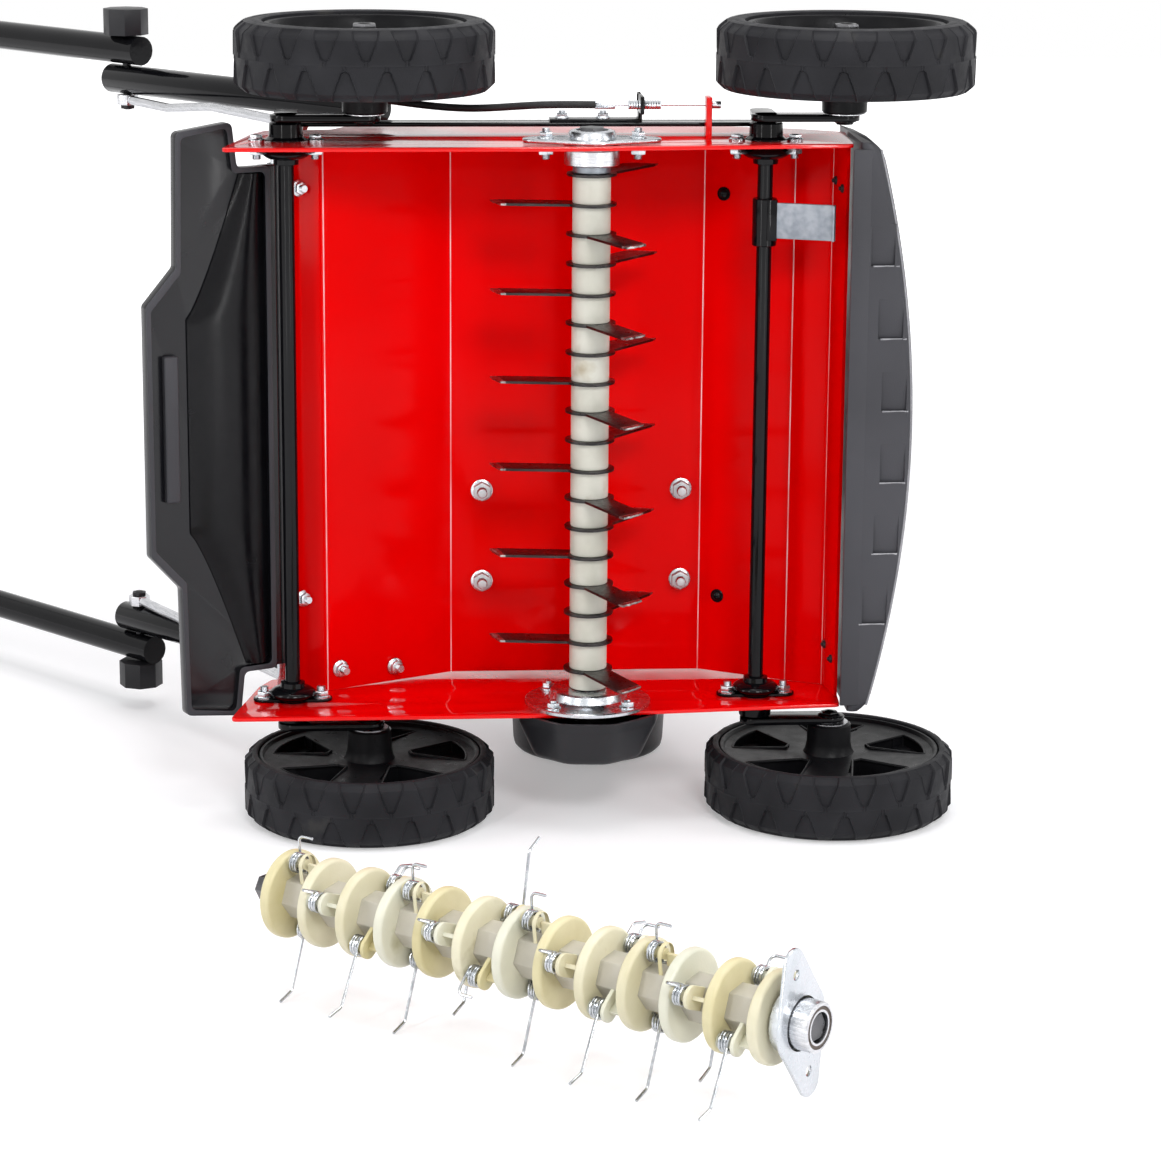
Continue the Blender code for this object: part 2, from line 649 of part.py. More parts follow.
def make_running_gear():
    for end, rod_x, wheel_x in (("rear", REAR_ROD_X, REAR_WHEEL_X), ("front", FRONT_ROD_X, FRONT_WHEEL_X)):
        make_axle("%s_axle" % end, rod_x, wheel_x)
        make_bush("axle_bush_%s_left" % end, rod_x, PLATE_L, INNER_L, -1)
        make_bush("axle_bush_%s_right" % end, rod_x, PLATE_R, INNER_R, 1)
        make_wheel(end, "left", wheel_x)
        make_wheel(end, "right", wheel_x)
    make_link_bar()


def make_catch_plate():
    """The stamped catch that swings on the front rod."""
    high = INNER_R - 0.0424
    low = high - 0.0320
    ring = plate([circle(FRONT_ROD_X, ROD_Y, 0.0095, 8)], low, high)
    catch = adopt("catch_plate", ring, ZINC)
    tilt = Matrix.Translation((FRONT_ROD_X, ROD_Y, 0)) @ Matrix.Rotation(math.radians(-20), 4, "Z")
    blade = box((0.0, -0.0085, low + 0.002), (0.0580, -0.0065, high - 0.002))
    lip = box((0.0560, -0.0120, low + 0.002), (0.0580, -0.0065, high - 0.002))
    fuse(catch, moved(blade, tilt), moved(lip, tilt))
    cut(catch, rod(FRONT_ROD_X, ROD_Y, low - 0.01, high + 0.01, ROD_RADIUS + 0.0006, 8))


# Knife drum
def knife_outline():
    """A ring with one wide arm along +X that ends in a slanted edge."""
    root = math.degrees(math.asin(KNIFE_HALF / KNIFE_RING))
    ring = arc(0, 0, KNIFE_RING, root, 360 - root, 4)
    return ring + [(KNIFE_REACH, 0.002 - KNIFE_HALF), (KNIFE_REACH - 0.011, KNIFE_HALF + 0.001)]


def make_knife_drum():
    knife = plate([knife_outline()], -KNIFE_THICK / 2, KNIFE_THICK / 2)
    knives = []
    for k in range(KNIVES):
        spin = Matrix.Rotation(math.radians(FIRST_ANGLE + 120 * k), 4, "Z")
        knives.append(moved(knife, Matrix.Translation((0, DRUM_Y, FIRST_KNIFE_Z - k * DRUM_PITCH)) @ spin))
    low, high = LAST_KNIFE_Z - 0.0035, FIRST_KNIFE_Z + 0.0035
    drum = adopt("knife_drum", rod(0, DRUM_Y, low, high, SPACER_RADIUS, 7), NYLON)
    fuse(drum, merged(knives))
    cut(drum, rod(0, DRUM_Y, low - 0.01, high + 0.01, HEX_RADIUS + GAP, 6))
    shaft = adopt("knife_shaft", rod(0, DRUM_Y, BELT_Z - 0.0145, PLATE_R + 0.012, HEX_RADIUS, 6), STEEL)
    collars = [rod(0, DRUM_Y, high + GAP, BEARING_Z - GAP, SPACER_RADIUS + 0.0005, 10),
               rod(0, DRUM_Y, INNER_L + 0.012 + RUN, low - GAP, SPACER_RADIUS, 10)]
    fuse(shaft, merged(collars))
    bore = HEX_RADIUS + GAP
    race = [(bore, BEARING_Z + BEARING_WIDTH), (BEARING_RADIUS, BEARING_Z + BEARING_WIDTH),
            (BEARING_RADIUS, BEARING_Z), (bore, BEARING_Z)]
    adopt("drum_bearing", turned(race, 0, DRUM_Y, RING_SIDES), CHROME)


def flange_plate(z0):
    holes = [circle(side * FLANGE_BOLTS / 2, 0, 0.0035, 5) for side in (-1, 1)]
    return plate([diamond_outline(), *holes], z0, z0 + FLANGE_THICK)


def make_drum_mounts():
    place = Matrix.Translation((0, DRUM_Y, 0))
    bore, face = HEX_RADIUS + RUN, PLATE_R + GAP
    flange = adopt("bearing_flange_right", moved(flange_plate(face), place), ZINC)
    low, high = BEARING_Z + BEARING_WIDTH + GAP, face + FLANGE_THICK
    fuse(flange, rod(0, DRUM_Y, low, face + 0.001, BEARING_RADIUS, RING_SIDES))
    fuse(flange, rod(0, DRUM_Y, high - 0.001, high + 0.0065, 0.0180, 8, top=0.0160))
    cut(flange, rod(0, DRUM_Y, low - 0.01, high + 0.02, bore + 0.0006, 8))
    seat, end = INNER_L + GAP, INNER_L + 0.012
    housing = [(bore, end), (0.0290, end), (0.0330, seat + 0.004), (0.0500, seat + 0.004), (0.0500, seat),
               (0.0290, seat), (0.0290, PLATE_L - 0.001), (bore, PLATE_L - 0.001)]
    adopt("bearing_housing_left", turned(housing, 0, DRUM_Y, RING_SIDES), ZINC)


# Belt drive
def pulley_section(radius):
    """The rim of a pulley whose groove holds the belt, from its upper edge to its lower one."""
    half, lip = BELT_WIDTH / 2 + 0.0007, radius + BELT_THICK + 0.001
    low, high = BELT_Z - half - 0.004, BELT_Z + half + 0.0038
    return [(lip, high), (lip, BELT_Z + half + 0.001), (radius, BELT_Z + half),
            (radius, BELT_Z - half), (lip, BELT_Z - half - 0.001), (lip, low)]


def make_belt_drive():
    section, bore = pulley_section(DRUM_PULLEY), HEX_RADIUS + GAP
    section = [(bore, section[0][1])] + section + [(bore, section[-1][1])]
    adopt("drum_pulley", turned(section, 0, DRUM_Y, RING_SIDES), STEEL)
    section = pulley_section(ENGINE_PULLEY)
    clutch = [(ENGINE_PULLEY + BELT_THICK + 0.007, section[-1][1]), (ENGINE_PULLEY + BELT_THICK + 0.010, BELT_Z - 0.041),
              (0.0220, BELT_Z - 0.060), (0.0, BELT_Z - 0.060)]
    shaft = [(0.0, PLATE_L + 0.020), (SHAFT_RADIUS, PLATE_L + 0.020), (SHAFT_RADIUS, section[0][1])]
    adopt("engine_pulley", turned(shaft + section + clutch, CRANK_X, CRANK_Y, RING_SIDES), STEEL)
    inner = belt_outline(DRUM_PULLEY + BELT_SLACK, ENGINE_PULLEY + BELT_SLACK)
    outer = belt_outline(DRUM_PULLEY + BELT_THICK, ENGINE_PULLEY + BELT_THICK)
    adopt("drive_belt", plate([outer, inner], BELT_Z - BELT_WIDTH / 2, BELT_Z + BELT_WIDTH / 2), RUBBER)
    arm = [slot_outline(PIVOT_X, PIVOT_Y, IDLER_X, IDLER_Y, 0.0075, 3), circle(PIVOT_X, PIVOT_Y, 0.0040, 8)]
    arm = adopt("belt_tensioner", plate(arm, IDLER_ARM_Z, IDLER_ARM_Z + IDLER_ARM_THICK), STEEL)
    fuse(arm, rod(IDLER_X, IDLER_Y, BELT_Z - 0.006, IDLER_ARM_Z + 0.001, IDLER_RADIUS, 12))


def cover_solid(wall):
    """The belt cover's outer form, or its hollow where wall is its thickness."""
    foot = PLATE_L - GAP + (0.002 if wall else 0.0)
    body = loft([(belt_outline(0.0500 - wall, 0.0680 - wall), COVER_SHOULDER + wall),
                 (belt_outline(0.0580 - wall, 0.0740 - wall), foot)])
    dome = rod(CRANK_X, CRANK_Y, wall, COVER_SHOULDER + 0.006, LAND_RADIUS - wall, 16, top=0.0670 - wall)
    return body, dome


def make_belt_cover():
    body, dome = cover_solid(0.0)
    hollow, bulge = cover_solid(COVER_WALL)
    cover = fuse(adopt("belt_cover", body, PLASTIC), dome)
    cut(cover, hollow, bulge)


# Engine, above the deck
def engine_point(distance, across=0.0):
    """A point along the cylinder's axis from the crankshaft, and across it."""
    a = math.radians(CYLINDER_LEAN)
    point = Vector((CRANK_X, CRANK_Y)) + Vector((math.cos(a), math.sin(a))) * distance
    return tuple(point + Vector((-math.sin(a), math.cos(a))) * across)


def engine_block(near, far, half, z0, z1):
    corners = [engine_point(near, -half), engine_point(far, -half), engine_point(far, half),
               engine_point(near, half)]
    return plate([corners], z0, z1)


def make_crankcase():
    foot = ENGINE_BASE + 0.014
    outline = [(-0.100, ENGINE_BASE), (0.105, ENGINE_BASE), (0.105, foot), (0.086, 0.230)]
    outline += arc(CRANK_X, CRANK_Y, BLOCK_RADIUS, -12, 204, 8) + [(-0.082, 0.215), (-0.100, foot)]
    block = adopt("crankcase", plate([outline], BLOCK_LOW, BLOCK_HIGH), CASTING)
    fuse(block, rod(CRANK_X, CRANK_Y, PLATE_L + 0.006, BLOCK_LOW + 0.001, 0.040, 12))
    cut(block, rod(CRANK_X, CRANK_Y, PLATE_L, PLATE_L + 0.020 + GAP, SHAFT_RADIUS + 0.0006, RING_SIDES))
    fuse(block, merged([bar((x, DECK_Y - 0.0145, z), (x, foot - 0.002, z), 0.0040, 6) for x, z in BOLTS]))
    fuse(block, merged([bar((x, DECK_Y - 0.0080, z), (x, DECK_Y - GAP, z), 0.0078, 6) for x, z in BOLTS]))


def make_cylinder():
    z0, z1 = BLOCK_LOW + 0.022, BLOCK_HIGH - 0.040
    cylinder = adopt("cylinder", engine_block(BORE_BASE, BARREL_END, 0.050, z0 + 0.010, z1 - 0.010), CASTING)
    fins = [engine_block(0.090 + 0.016 * k, 0.0945 + 0.016 * k, FIN_HALF, z0, z1) for k in range(4)]
    fuse(cylinder, merged(fins))
    head = engine_block(BARREL_END + GAP, HEAD_END, 0.042, z0 + 0.010, z1 - 0.010)
    adopt("valve_cover", head, ZINC)


def make_shroud():
    """Fan cowl with the recoil starter's drum and slots, on the machine's right side."""
    low = BLOCK_HIGH + GAP
    high = low + SHROUD_DEPTH
    outline = arc(CRANK_X, CRANK_Y, SHROUD_RADIUS, -30, 210, 10)
    shroud = adopt("fan_shroud", plate([outline], low, high), RED)
    drum = rod(CRANK_X, CRANK_Y, high - 0.001, high + 0.026, STARTER_RADIUS, 14, top=STARTER_RADIUS - 0.003)
    crown = rod(CRANK_X, CRANK_Y, high + 0.025, high + 0.038, STARTER_RADIUS - 0.003, 14, top=0.055)
    fuse(shroud, drum, crown)
    slots = []
    for k in range(5):
        a = math.tau * (k + 0.2) / 5
        slot = box((0.026, -0.0035, high + 0.022), (0.050, 0.0035, high + 0.050))
        slots.append(moved(slot, Matrix.Translation((CRANK_X, CRANK_Y, 0)) @ Matrix.Rotation(a, 4, "Z")))
    cut(shroud, merged(slots))
    pin_x, pin_y = CRANK_X + 0.092 * math.cos(THROTTLE_AT), CRANK_Y + 0.092 * math.sin(THROTTLE_AT)
    fuse(shroud, rod(pin_x, pin_y, high - 0.001, high + 0.004, 0.0030, 8))
    tip_x, tip_y = CRANK_X + 0.128 * math.cos(THROTTLE_AT), CRANK_Y + 0.128 * math.sin(THROTTLE_AT)
    lever = [slot_outline(pin_x, pin_y, tip_x, tip_y, 0.0065, 3), circle(pin_x, pin_y, 0.0034, 8)]
    throttle = adopt("throttle_lever", plate(lever, high + GAP, high + 0.0025), STEEL)
    fuse(throttle, rod(tip_x, tip_y, high + 0.0015, high + 0.012, 0.0065, 10))


def make_starter_grip():
    """The pull handle, seated on the rim of the starter's drum."""
    z = BLOCK_HIGH + SHROUD_DEPTH + 0.0115
    out = Vector((math.cos(GRIP_AT), math.sin(GRIP_AT), 0))
    along = Vector((-out.y, out.x, 0))
    centre = Vector((CRANK_X, CRANK_Y, z))
    seat = STARTER_RADIUS - 0.0013
    middle = centre + out * (seat + 0.016)
    grip = adopt("starter_grip", bar(middle - along * 0.034, middle + along * 0.034, 0.0085, 10), RUBBER)
    fuse(grip, bar(centre + out * seat, middle, 0.0045, 8))


def make_tank():
    top = TANK_Y + TANK_HEIGHT
    low, high = (-0.030, TANK_Y, BLOCK_LOW + 0.037), (0.150, top, BLOCK_LOW + 0.247)
    cap_x, cap_z = 0.075, BLOCK_LOW + 0.142
    tank = adopt("fuel_tank", box(low, high, 0.022, 1), PLASTIC)
    fuse(tank, bar((cap_x, top - 0.002, cap_z), (cap_x, top + 0.006, cap_z), 0.020, 12))
    fuse(tank, box((0.000, CRANK_Y + 0.060, BLOCK_LOW + 0.072), (0.055, TANK_Y + 0.002, BLOCK_LOW + 0.182)))
    cut(tank, rod(CRANK_X, CRANK_Y, BLOCK_LOW, BLOCK_HIGH, BLOCK_RADIUS + 0.0003, 36))
    cap = bar((cap_x, top + 0.006 + GAP, cap_z), (cap_x, top + 0.022, cap_z), 0.027, 12)
    cap = adopt("fuel_cap", cap, PLASTIC)
    notches = []
    for k in range(6):
        a = math.tau * k / 6
        x, z = cap_x + 0.0285 * math.cos(a), cap_z + 0.0285 * math.sin(a)
        notches.append(bar((x, top, z), (x, top + 0.030, z), 0.0035, 6))
    cut(cap, merged(notches))


def make_intake_and_exhaust():
    """The air cleaner and the muffler, side by side above the cylinder, each with its pipe."""
    foot, inlet, outlet = FIN_HALF + GAP, BLOCK_LOW + 0.067, BLOCK_LOW + 0.147
    cleaner = box((-0.160, 0.415, BLOCK_LOW + 0.007), (-0.036, 0.492, BLOCK_LOW + 0.124), 0.014, 1)
    cleaner = adopt("air_cleaner", cleaner, PLASTIC)
    fuse(cleaner, bar((*engine_point(0.116, -foot), inlet), (*engine_point(0.116, -foot - 0.036), inlet), 0.015, 10))
    muffler = box((-0.160, 0.412, BLOCK_LOW + 0.134), (-0.036, 0.485, BLOCK_LOW + 0.228), 0.018, 1)
    muffler = adopt("muffler", muffler, STEEL)
    fuse(muffler, bar((*engine_point(0.116, -foot), outlet), (*engine_point(0.116, -foot - 0.036), outlet), 0.011, 8))
    tail = BLOCK_LOW + 0.190
    fuse(muffler, bar((-0.150, 0.450, tail), (-0.176, 0.456, tail), 0.011, 10))


def make_dipstick():
    """The oil filler's plug on the crankcase's front corner."""
    foot = Vector((0.105, ENGINE_BASE + 0.014, BLOCK_LOW + 0.042))
    shoulder = Vector((0.086, 0.230, foot.z))
    out = Vector((shoulder.y - foot.y, foot.x - shoulder.x, 0)).normalized()
    seat = (foot + shoulder) / 2 + out * GAP
    plug = adopt("oil_dipstick", bar(seat, seat + out * 0.012, 0.012, 12), PLASTIC)
    fuse(plug, bar(seat + out * 0.011, seat + out * 0.020, 0.006, 6))


# Handlebar
def bar_point(distance, lift=0.0):
    """A point along the upper handlebar from its joint, lifted towards the operator."""
    a = math.radians(BAR_ANGLE)
    return (JOINT_X + distance * math.cos(a) + lift * math.sin(a),
            JOINT_Y + distance * math.sin(a) - lift * math.cos(a))


def bent(points, radius, steps=3):
    """The same polyline with its inner corners rounded."""
    points = [Vector(p) for p in points]
    line = [points[0]]
    for before, corner, after in zip(points, points[1:], points[2:]):
        inward = (before - corner).normalized()
        outward = (after - corner).normalized()
        half = inward.angle(outward) / 2
        reach = radius / math.tan(half)
        start, end = corner + inward * reach, corner + outward * reach
        centre = corner + (inward + outward).normalized() * radius / math.sin(half)
        for i in range(steps + 1):
            chord = start.lerp(end, i / steps) - centre
            line.append(centre + chord.normalized() * radius)
    return line + [points[-1]]


def make_lower_handlebar():
    for side, z in (("left", BAR_L), ("right", BAR_R)):
        foot, joint = Vector((FOOT_X, FOOT_Y, z)), Vector((JOINT_X, JOINT_Y, z))
        end = joint + (joint - foot).normalized() * 0.020
        tube = adopt("lower_bar_%s" % side, bar(foot, end, TUBE_RADIUS, 12), BLACK)
        cut(tube, rod(JOINT_X, JOINT_Y, 0.0, TRACK, BOLT_RADIUS + 0.0005, 8))
    along = Vector((LEVER_X, LEVER_Y, BAR_R))
    fuse(tube, rod(along.x, along.y, BAR_R + TUBE_RADIUS - 0.002, BAR_R + TUBE_RADIUS + 0.010, 0.0050, 8))


def make_braces():
    """The bent stay rods between the side plates and the handlebar's joint."""
    for side, out in (("left", -1), ("right", 1)):
        face = MID_Z + out * (PLATE_SPAN / 2 + GAP + 0.0042)
        inside = MID_Z + out * (PLATE_SPAN / 2 - 0.0042)
        points = [(-0.2200, 0.1560, face), (-0.2960, 0.2900, face), (-0.3350, 0.3600, inside),
                  (JOINT_X, JOINT_Y, inside)]
        brace = adopt("brace_%s" % side, wire(points, 0.0040, 1), ZINC)
        fuse(brace, rod(JOINT_X, JOINT_Y, inside - 0.0042, inside + 0.0042, 0.0090, 8))
        cut(brace, rod(JOINT_X, JOINT_Y, inside - 0.01, inside + 0.01, BOLT_RADIUS + 0.0005, 8))


def make_upper_handlebar():
    """The operator's bar: two tubes beside the lower ones, bent round into the grip."""
    corners = [(*bar_point(-0.020), UPPER_L), (*bar_point(BAR_LENGTH), UPPER_L),
               (*bar_point(BAR_LENGTH), UPPER_R), (*bar_point(-0.020), UPPER_R)]
    upper = adopt("upper_handlebar", wire(bent(corners, BAR_BEND), TUBE_RADIUS, 2), BLACK)
    x, y = bar_point(BAIL_PIVOT)
    pins = [rod(x, y, UPPER_L, UPPER_L + TUBE_RADIUS + 0.012, 0.0040, 8),
            rod(x, y, UPPER_R - TUBE_RADIUS - 0.012, UPPER_R, 0.0040, 8)]
    fuse(upper, merged(pins))
    cut(upper, rod(JOINT_X, JOINT_Y, -0.01, TRACK + 0.01, BOLT_RADIUS + 0.0005, 8))


def make_knobs():
    """The joint's clamp bolts, with their star knobs outside the upper tubes."""
    for side, out in (("left", -1), ("right", 1)):
        upper = UPPER_L if out < 0 else UPPER_R
        inner = MID_Z + out * (PLATE_SPAN / 2 - 0.0125)
        outer = upper + out * (TUBE_RADIUS + GAP)
        ends = sorted((inner, outer + out * 0.004))
        knob = adopt("knob_%s" % side, rod(JOINT_X, JOINT_Y, *ends, BOLT_RADIUS, 8), PLASTIC)
        nut = MID_Z + out * (PLATE_SPAN / 2 - 2 * 0.0042 - GAP)
        fuse(knob, rod(JOINT_X, JOINT_Y, *sorted((nut, nut - out * 0.0030)), 0.0065, 6))
        fuse(knob, rod(JOINT_X, JOINT_Y, min(outer, outer + out * 0.022), max(outer, outer + out * 0.022), 0.019, 8))


def make_bail():
    """The bent wire that engages the drive, pivoted inside the upper tubes."""
    inner_l, inner_r = UPPER_L + TUBE_RADIUS + 0.0062, UPPER_R - TUBE_RADIUS - 0.0062
    reach = BAR_LENGTH - BAIL_PIVOT - 0.045
    corners = [(*bar_point(BAIL_PIVOT), inner_l), (*bar_point(BAIL_PIVOT + reach, -0.060), inner_l),
               (*bar_point(BAIL_PIVOT + reach, -0.060), inner_r), (*bar_point(BAIL_PIVOT), inner_r)]
    bail = adopt("drive_bail", wire(bent(corners, 0.045), BAIL_RADIUS, 1), BLACK)
    x, y = bar_point(BAIL_PIVOT)
    eyes = [rod(x, y, z - 0.0050, z + 0.0050, 0.0085, 8) for z in (inner_l, inner_r)]
    fuse(bail, merged(eyes))
    cut(bail, rod(x, y, 0.0, TRACK, 0.0040 + 0.0006, 8))


def make_depth_lever():
    """The wheel-height lever on the right lower tube."""
    z = BAR_R + TUBE_RADIUS + GAP
    tip_x, tip_y = LEVER_X + 0.064, LEVER_Y + 0.060
    outline = [slot_outline(LEVER_X, LEVER_Y, tip_x, tip_y, 0.0090, 3), circle(LEVER_X, LEVER_Y, 0.0056, 8)]
    lever = adopt("depth_lever", plate(outline, z, z + 0.004), STEEL)
    grip = slot_outline(LEVER_X + 0.030, LEVER_Y + 0.028, tip_x + 0.006, tip_y + 0.006, 0.0115, 3)
    fuse(lever, plate([grip], z - 0.002 + 0.0022, z + 0.010))


def make_cable():
    """The height cable: its sleeve from the lever, its bare wire through the adjuster to the post."""
    z = PLATE_R + CABLE_OUT
    knots = [Vector(p) for p in ((-0.2680, 0.2680, BAR_R + TUBE_RADIUS + 0.0036), (-0.2400, 0.2360, PLATE_R + 0.0298),
                                 (-0.2000, 0.1960, PLATE_R + 0.0286), (-0.1500, 0.1560, PLATE_R + 0.0236),
                                 (-0.0950, 0.1260, z - 0.004), (-0.0350, CABLE_Y, z), (0.0295, CABLE_Y, z))]
    sleeve = smooth_line(knots, 2)
    cable = adopt("depth_cable", wire(sleeve, CABLE_RADIUS, 1), RUBBER)
    fuse(cable, bar((0.0285, CABLE_Y, z), (POST_X + 0.0070, CABLE_Y, z), WIRE_INNER, 6))
    fuse(cable, bar((POST_X + 0.0048, CABLE_Y, z), (POST_X + 0.0120, CABLE_Y, z), 0.0030, 8))


def smooth_line(knots, steps):
    """Points of a smooth curve through the knots."""
    ends = [knots[0] * 2 - knots[1]] + knots + [knots[-1] * 2 - knots[-2]]
    line = []
    for a, b, c, d in zip(ends, ends[1:], ends[2:], ends[3:]):
        for i in range(steps):
            t = i / steps
            line.append((b * 2 + (c - a) * t + (a * 2 - b * 5 + c * 4 - d) * t * t
                         + (b * 3 - a - c * 3 + d) * t ** 3) / 2)
    return line + [knots[-1]]


# Spare spring-tine drum. Its axis is the local Z; local -X is up and local -Y faces the front

def heading(angle):
    """The local direction of an angle taken from upright towards the front."""
    a = math.radians(180.0 + angle)
    return Vector((math.cos(a), math.sin(a), 0.0))


def eye_height():
    """From a disc's face to the eyes' plate, past the tallest coil."""
    return COIL_LIFT + COIL_TURNS * COIL_PITCH + WIRE_RADIUS + 0.0007


def spring_points(centre, long_tine, direction):
    """A one-ended torsion spring: foot, turns and tine, with the foot at the disc or at the eye."""
    aim = heading(direction)
    leave = math.atan2(aim.y, aim.x) - math.pi / 2
    most = round(COIL_TURNS * COIL_POINTS)

    def on_coil(back, lift=0.0):
        angle = leave - math.tau * back / COIL_POINTS
        return centre + Vector((COIL_RADIUS * math.cos(angle), COIL_RADIUS * math.sin(angle), lift))

    count = min(range(most - 4, most + 1), key=lambda back: on_coil(back).xy.length)
    steps = [COIL_PITCH * i / COIL_POINTS for i in range(count + 1)]
    turns = [on_coil(count - i, lift if long_tine else steps[-1] - lift) for i, lift in enumerate(steps)]
    foot = turns[0].copy()
    foot.z = centre.z - COIL_LIFT - 0.0015 if long_tine else centre.z - COIL_LIFT + eye_height() + 0.0015
    tine = [turns[-1] + aim * (LONG_TINE if long_tine else SHORT_TINE)]
    if long_tine:
        tine.append(tine[0] + heading(direction - 50.0) * TIP)
    else:
        tine.append(tine[0] + Vector((0, 0, TIP - 0.001)))
    return [foot] + turns + tine


def least_gap(points):
    """The least gap of a spring's wire to itself, from its points."""
    apart = COIL_POINTS - 2
    pairs = ((a, b) for i, a in enumerate(points) for b in points[i + apart:])
    return min((a - b).length for a, b in pairs) - 2 * WIRE_RADIUS


def module_springs(index, start):
    """The two springs of a module whose disc starts at start."""
    phase = PHASES[index % 3]
    legs = OTHER_WAY.get(index, TINES[index % 3])
    springs = []
    for turn, (long_tine, direction) in zip((0.0, 180.0), legs):
        centre = heading(phase + turn) * PIN_CIRCLE
        centre.z = start + DISC_THICK + COIL_LIFT
        springs.append(spring_points(centre, long_tine, direction))
    return springs


def core_section(starts, end):
    """Discs on a round hub, as one section from the bore outwards."""
    bore = TINE_HEX * 0.7
    section = [(bore, starts[0])]
    for start in starts:
        section += [(HUB_RADIUS, start), (DISC_RADIUS, start + 0.001), (DISC_RADIUS, start + DISC_THICK),
                    (HUB_RADIUS, start + DISC_THICK)]
    del section[1]
    if end > starts[-1] + DISC_THICK:
        section.append((HUB_RADIUS, end))
    else:
        del section[-1]
    return section + [(bore, end)]


def module_solids(index, start, joined):
    """The eyes' plate, the pins and the ribs of one module, which may join the next disc."""
    phase = PHASES[index % 3]
    eye_z = start + DISC_THICK + eye_height()
    first, second = heading(phase) * PIN_CIRCLE, heading(phase + 180.0) * PIN_CIRCLE
    arm = slot_outline(first.x, first.y, second.x, second.y, EYE_RADIUS, 3)
    solids = [plate([arm], eye_z, eye_z + EYE_THICK)]
    pins = [rod(p.x, p.y, start + 0.004, eye_z + 0.0015, PIN_RADIUS, 4) for p in (first, second)]
    ribs = []
    across = heading(phase + 90.0) * 0.0015
    for p in (first, second):
        inner, outer = p * 0.70, p * 1.05
        corners = [inner - across, outer - across, outer + across, inner + across]
        rib_end = start + TINE_PITCH + (0.0015 if joined else -GAP)
        ribs.append(plate([[(c.x, c.y) for c in corners]], eye_z + EYE_THICK - 0.0005, rib_end))
    return solids + [merged(pins), merged(ribs)]


def make_tine_sets(spare):
    """Sets of three modules on the shaft; the last one also carries the end disc."""
    bore = TINE_HEX + GAP
    per_set = TINE_MODULES // TINE_SETS
    gap = 1.0
    for number in range(TINE_SETS):
        first = number * per_set
        starts = [TINE_START + (first + k) * TINE_PITCH for k in range(per_set)]
        last = number == TINE_SETS - 1
        end = starts[-1] + TINE_PITCH + (DISC_THICK if last else -GAP)
        discs = starts + [starts[-1] + TINE_PITCH] if last else starts
        tines = adopt("tine_set_%d" % (number + 1), turned(core_section(discs, end), 0, 0, 10), CREAM, spare)
        solids = [module_solids(first + k, start, last or k < per_set - 1) for k, start in enumerate(starts)]
        for layer in zip(*solids):
            fuse(tines, merged(layer))
        springs = [points for k, start in enumerate(starts) for points in module_springs(first + k, start)]
        gap = min([gap] + [least_gap(points) for points in springs])
        fuse(tines, merged([wire(points, WIRE_RADIUS, 0) for points in springs]))
        cut(tines, rod(0, 0, starts[0] - 0.01, end + 0.01, bore, 6))
    print("least gap of a spring to itself: %.2f mm" % (gap * 1000))


def lowest_tine():
    """How far the tines reach below the spare drum's axis."""
    reach = 0.0
    for index in range(TINE_MODULES):
        for points in module_springs(index, 0.0):
            reach = max(reach, max(p.x for p in points))
    return reach + WIRE_RADIUS


def make_spare_drum():
    spare = bpy.data.objects.new("spare_drum_frame", None)
    spare.rotation_euler = (0.0, math.radians(90), math.radians(SPARE_HEADING))
    spare.location = (SPARE_X - CRANK_X, SPARE_Y - CRANK_Y, lowest_tine() + GAP)
    PARTS.objects.link(spare)
    make_tine_sets(spare)
    end = TINE_START + TINE_MODULES * TINE_PITCH + DISC_THICK
    adopt("tine_shaft", rod(0, 0, 0.0, end + 0.0265, TINE_HEX, 6), STEEL, spare)
    bore = TINE_HEX + GAP
    race = [(bore, end + 0.0280), (0.0165, end + 0.0280), (0.0170, end + 0.0020), (bore, end + 0.0020)]
    adopt("tine_bearing", turned(race, 0, 0, RING_SIDES), CHROME, spare)
    flange = moved(flange_plate(end + 0.0125), Matrix.Rotation(math.radians(14), 4, "Z"))
    flange = adopt("tine_flange", flange, ZINC, spare)
    fuse(flange, rod(0, 0, end + 0.0025, end + 0.0135, 0.0205, RING_SIDES))
    cut(flange, rod(0, 0, end - 0.01, end + 0.03, 0.0170 + RUN, RING_SIDES))


make_deck()
make_side_plates()
make_bumper()
make_rear_flap()
make_running_gear()
make_catch_plate()
make_knife_drum()
make_drum_mounts()
make_belt_drive()
make_belt_cover()
make_crankcase()
make_cylinder()
make_shroud()
make_starter_grip()
make_tank()
make_intake_and_exhaust()
make_dipstick()
make_lower_handlebar()
make_braces()
make_upper_handlebar()
make_knobs()
make_bail()
make_depth_lever()
make_cable()
make_spare_drum()
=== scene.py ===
"""Looks of a walk-behind lawn scarifier that lies on its left side, with its spare tine drum in front."""
import json
import logging
from dataclasses import dataclass, field
from enum import Enum
from math import acos, asin, atan2, cos, degrees, hypot, pi, radians, sin, sqrt, tan, tau
from typing import Iterable, Sequence

import bmesh
import bpy
from mathutils import Matrix, Vector

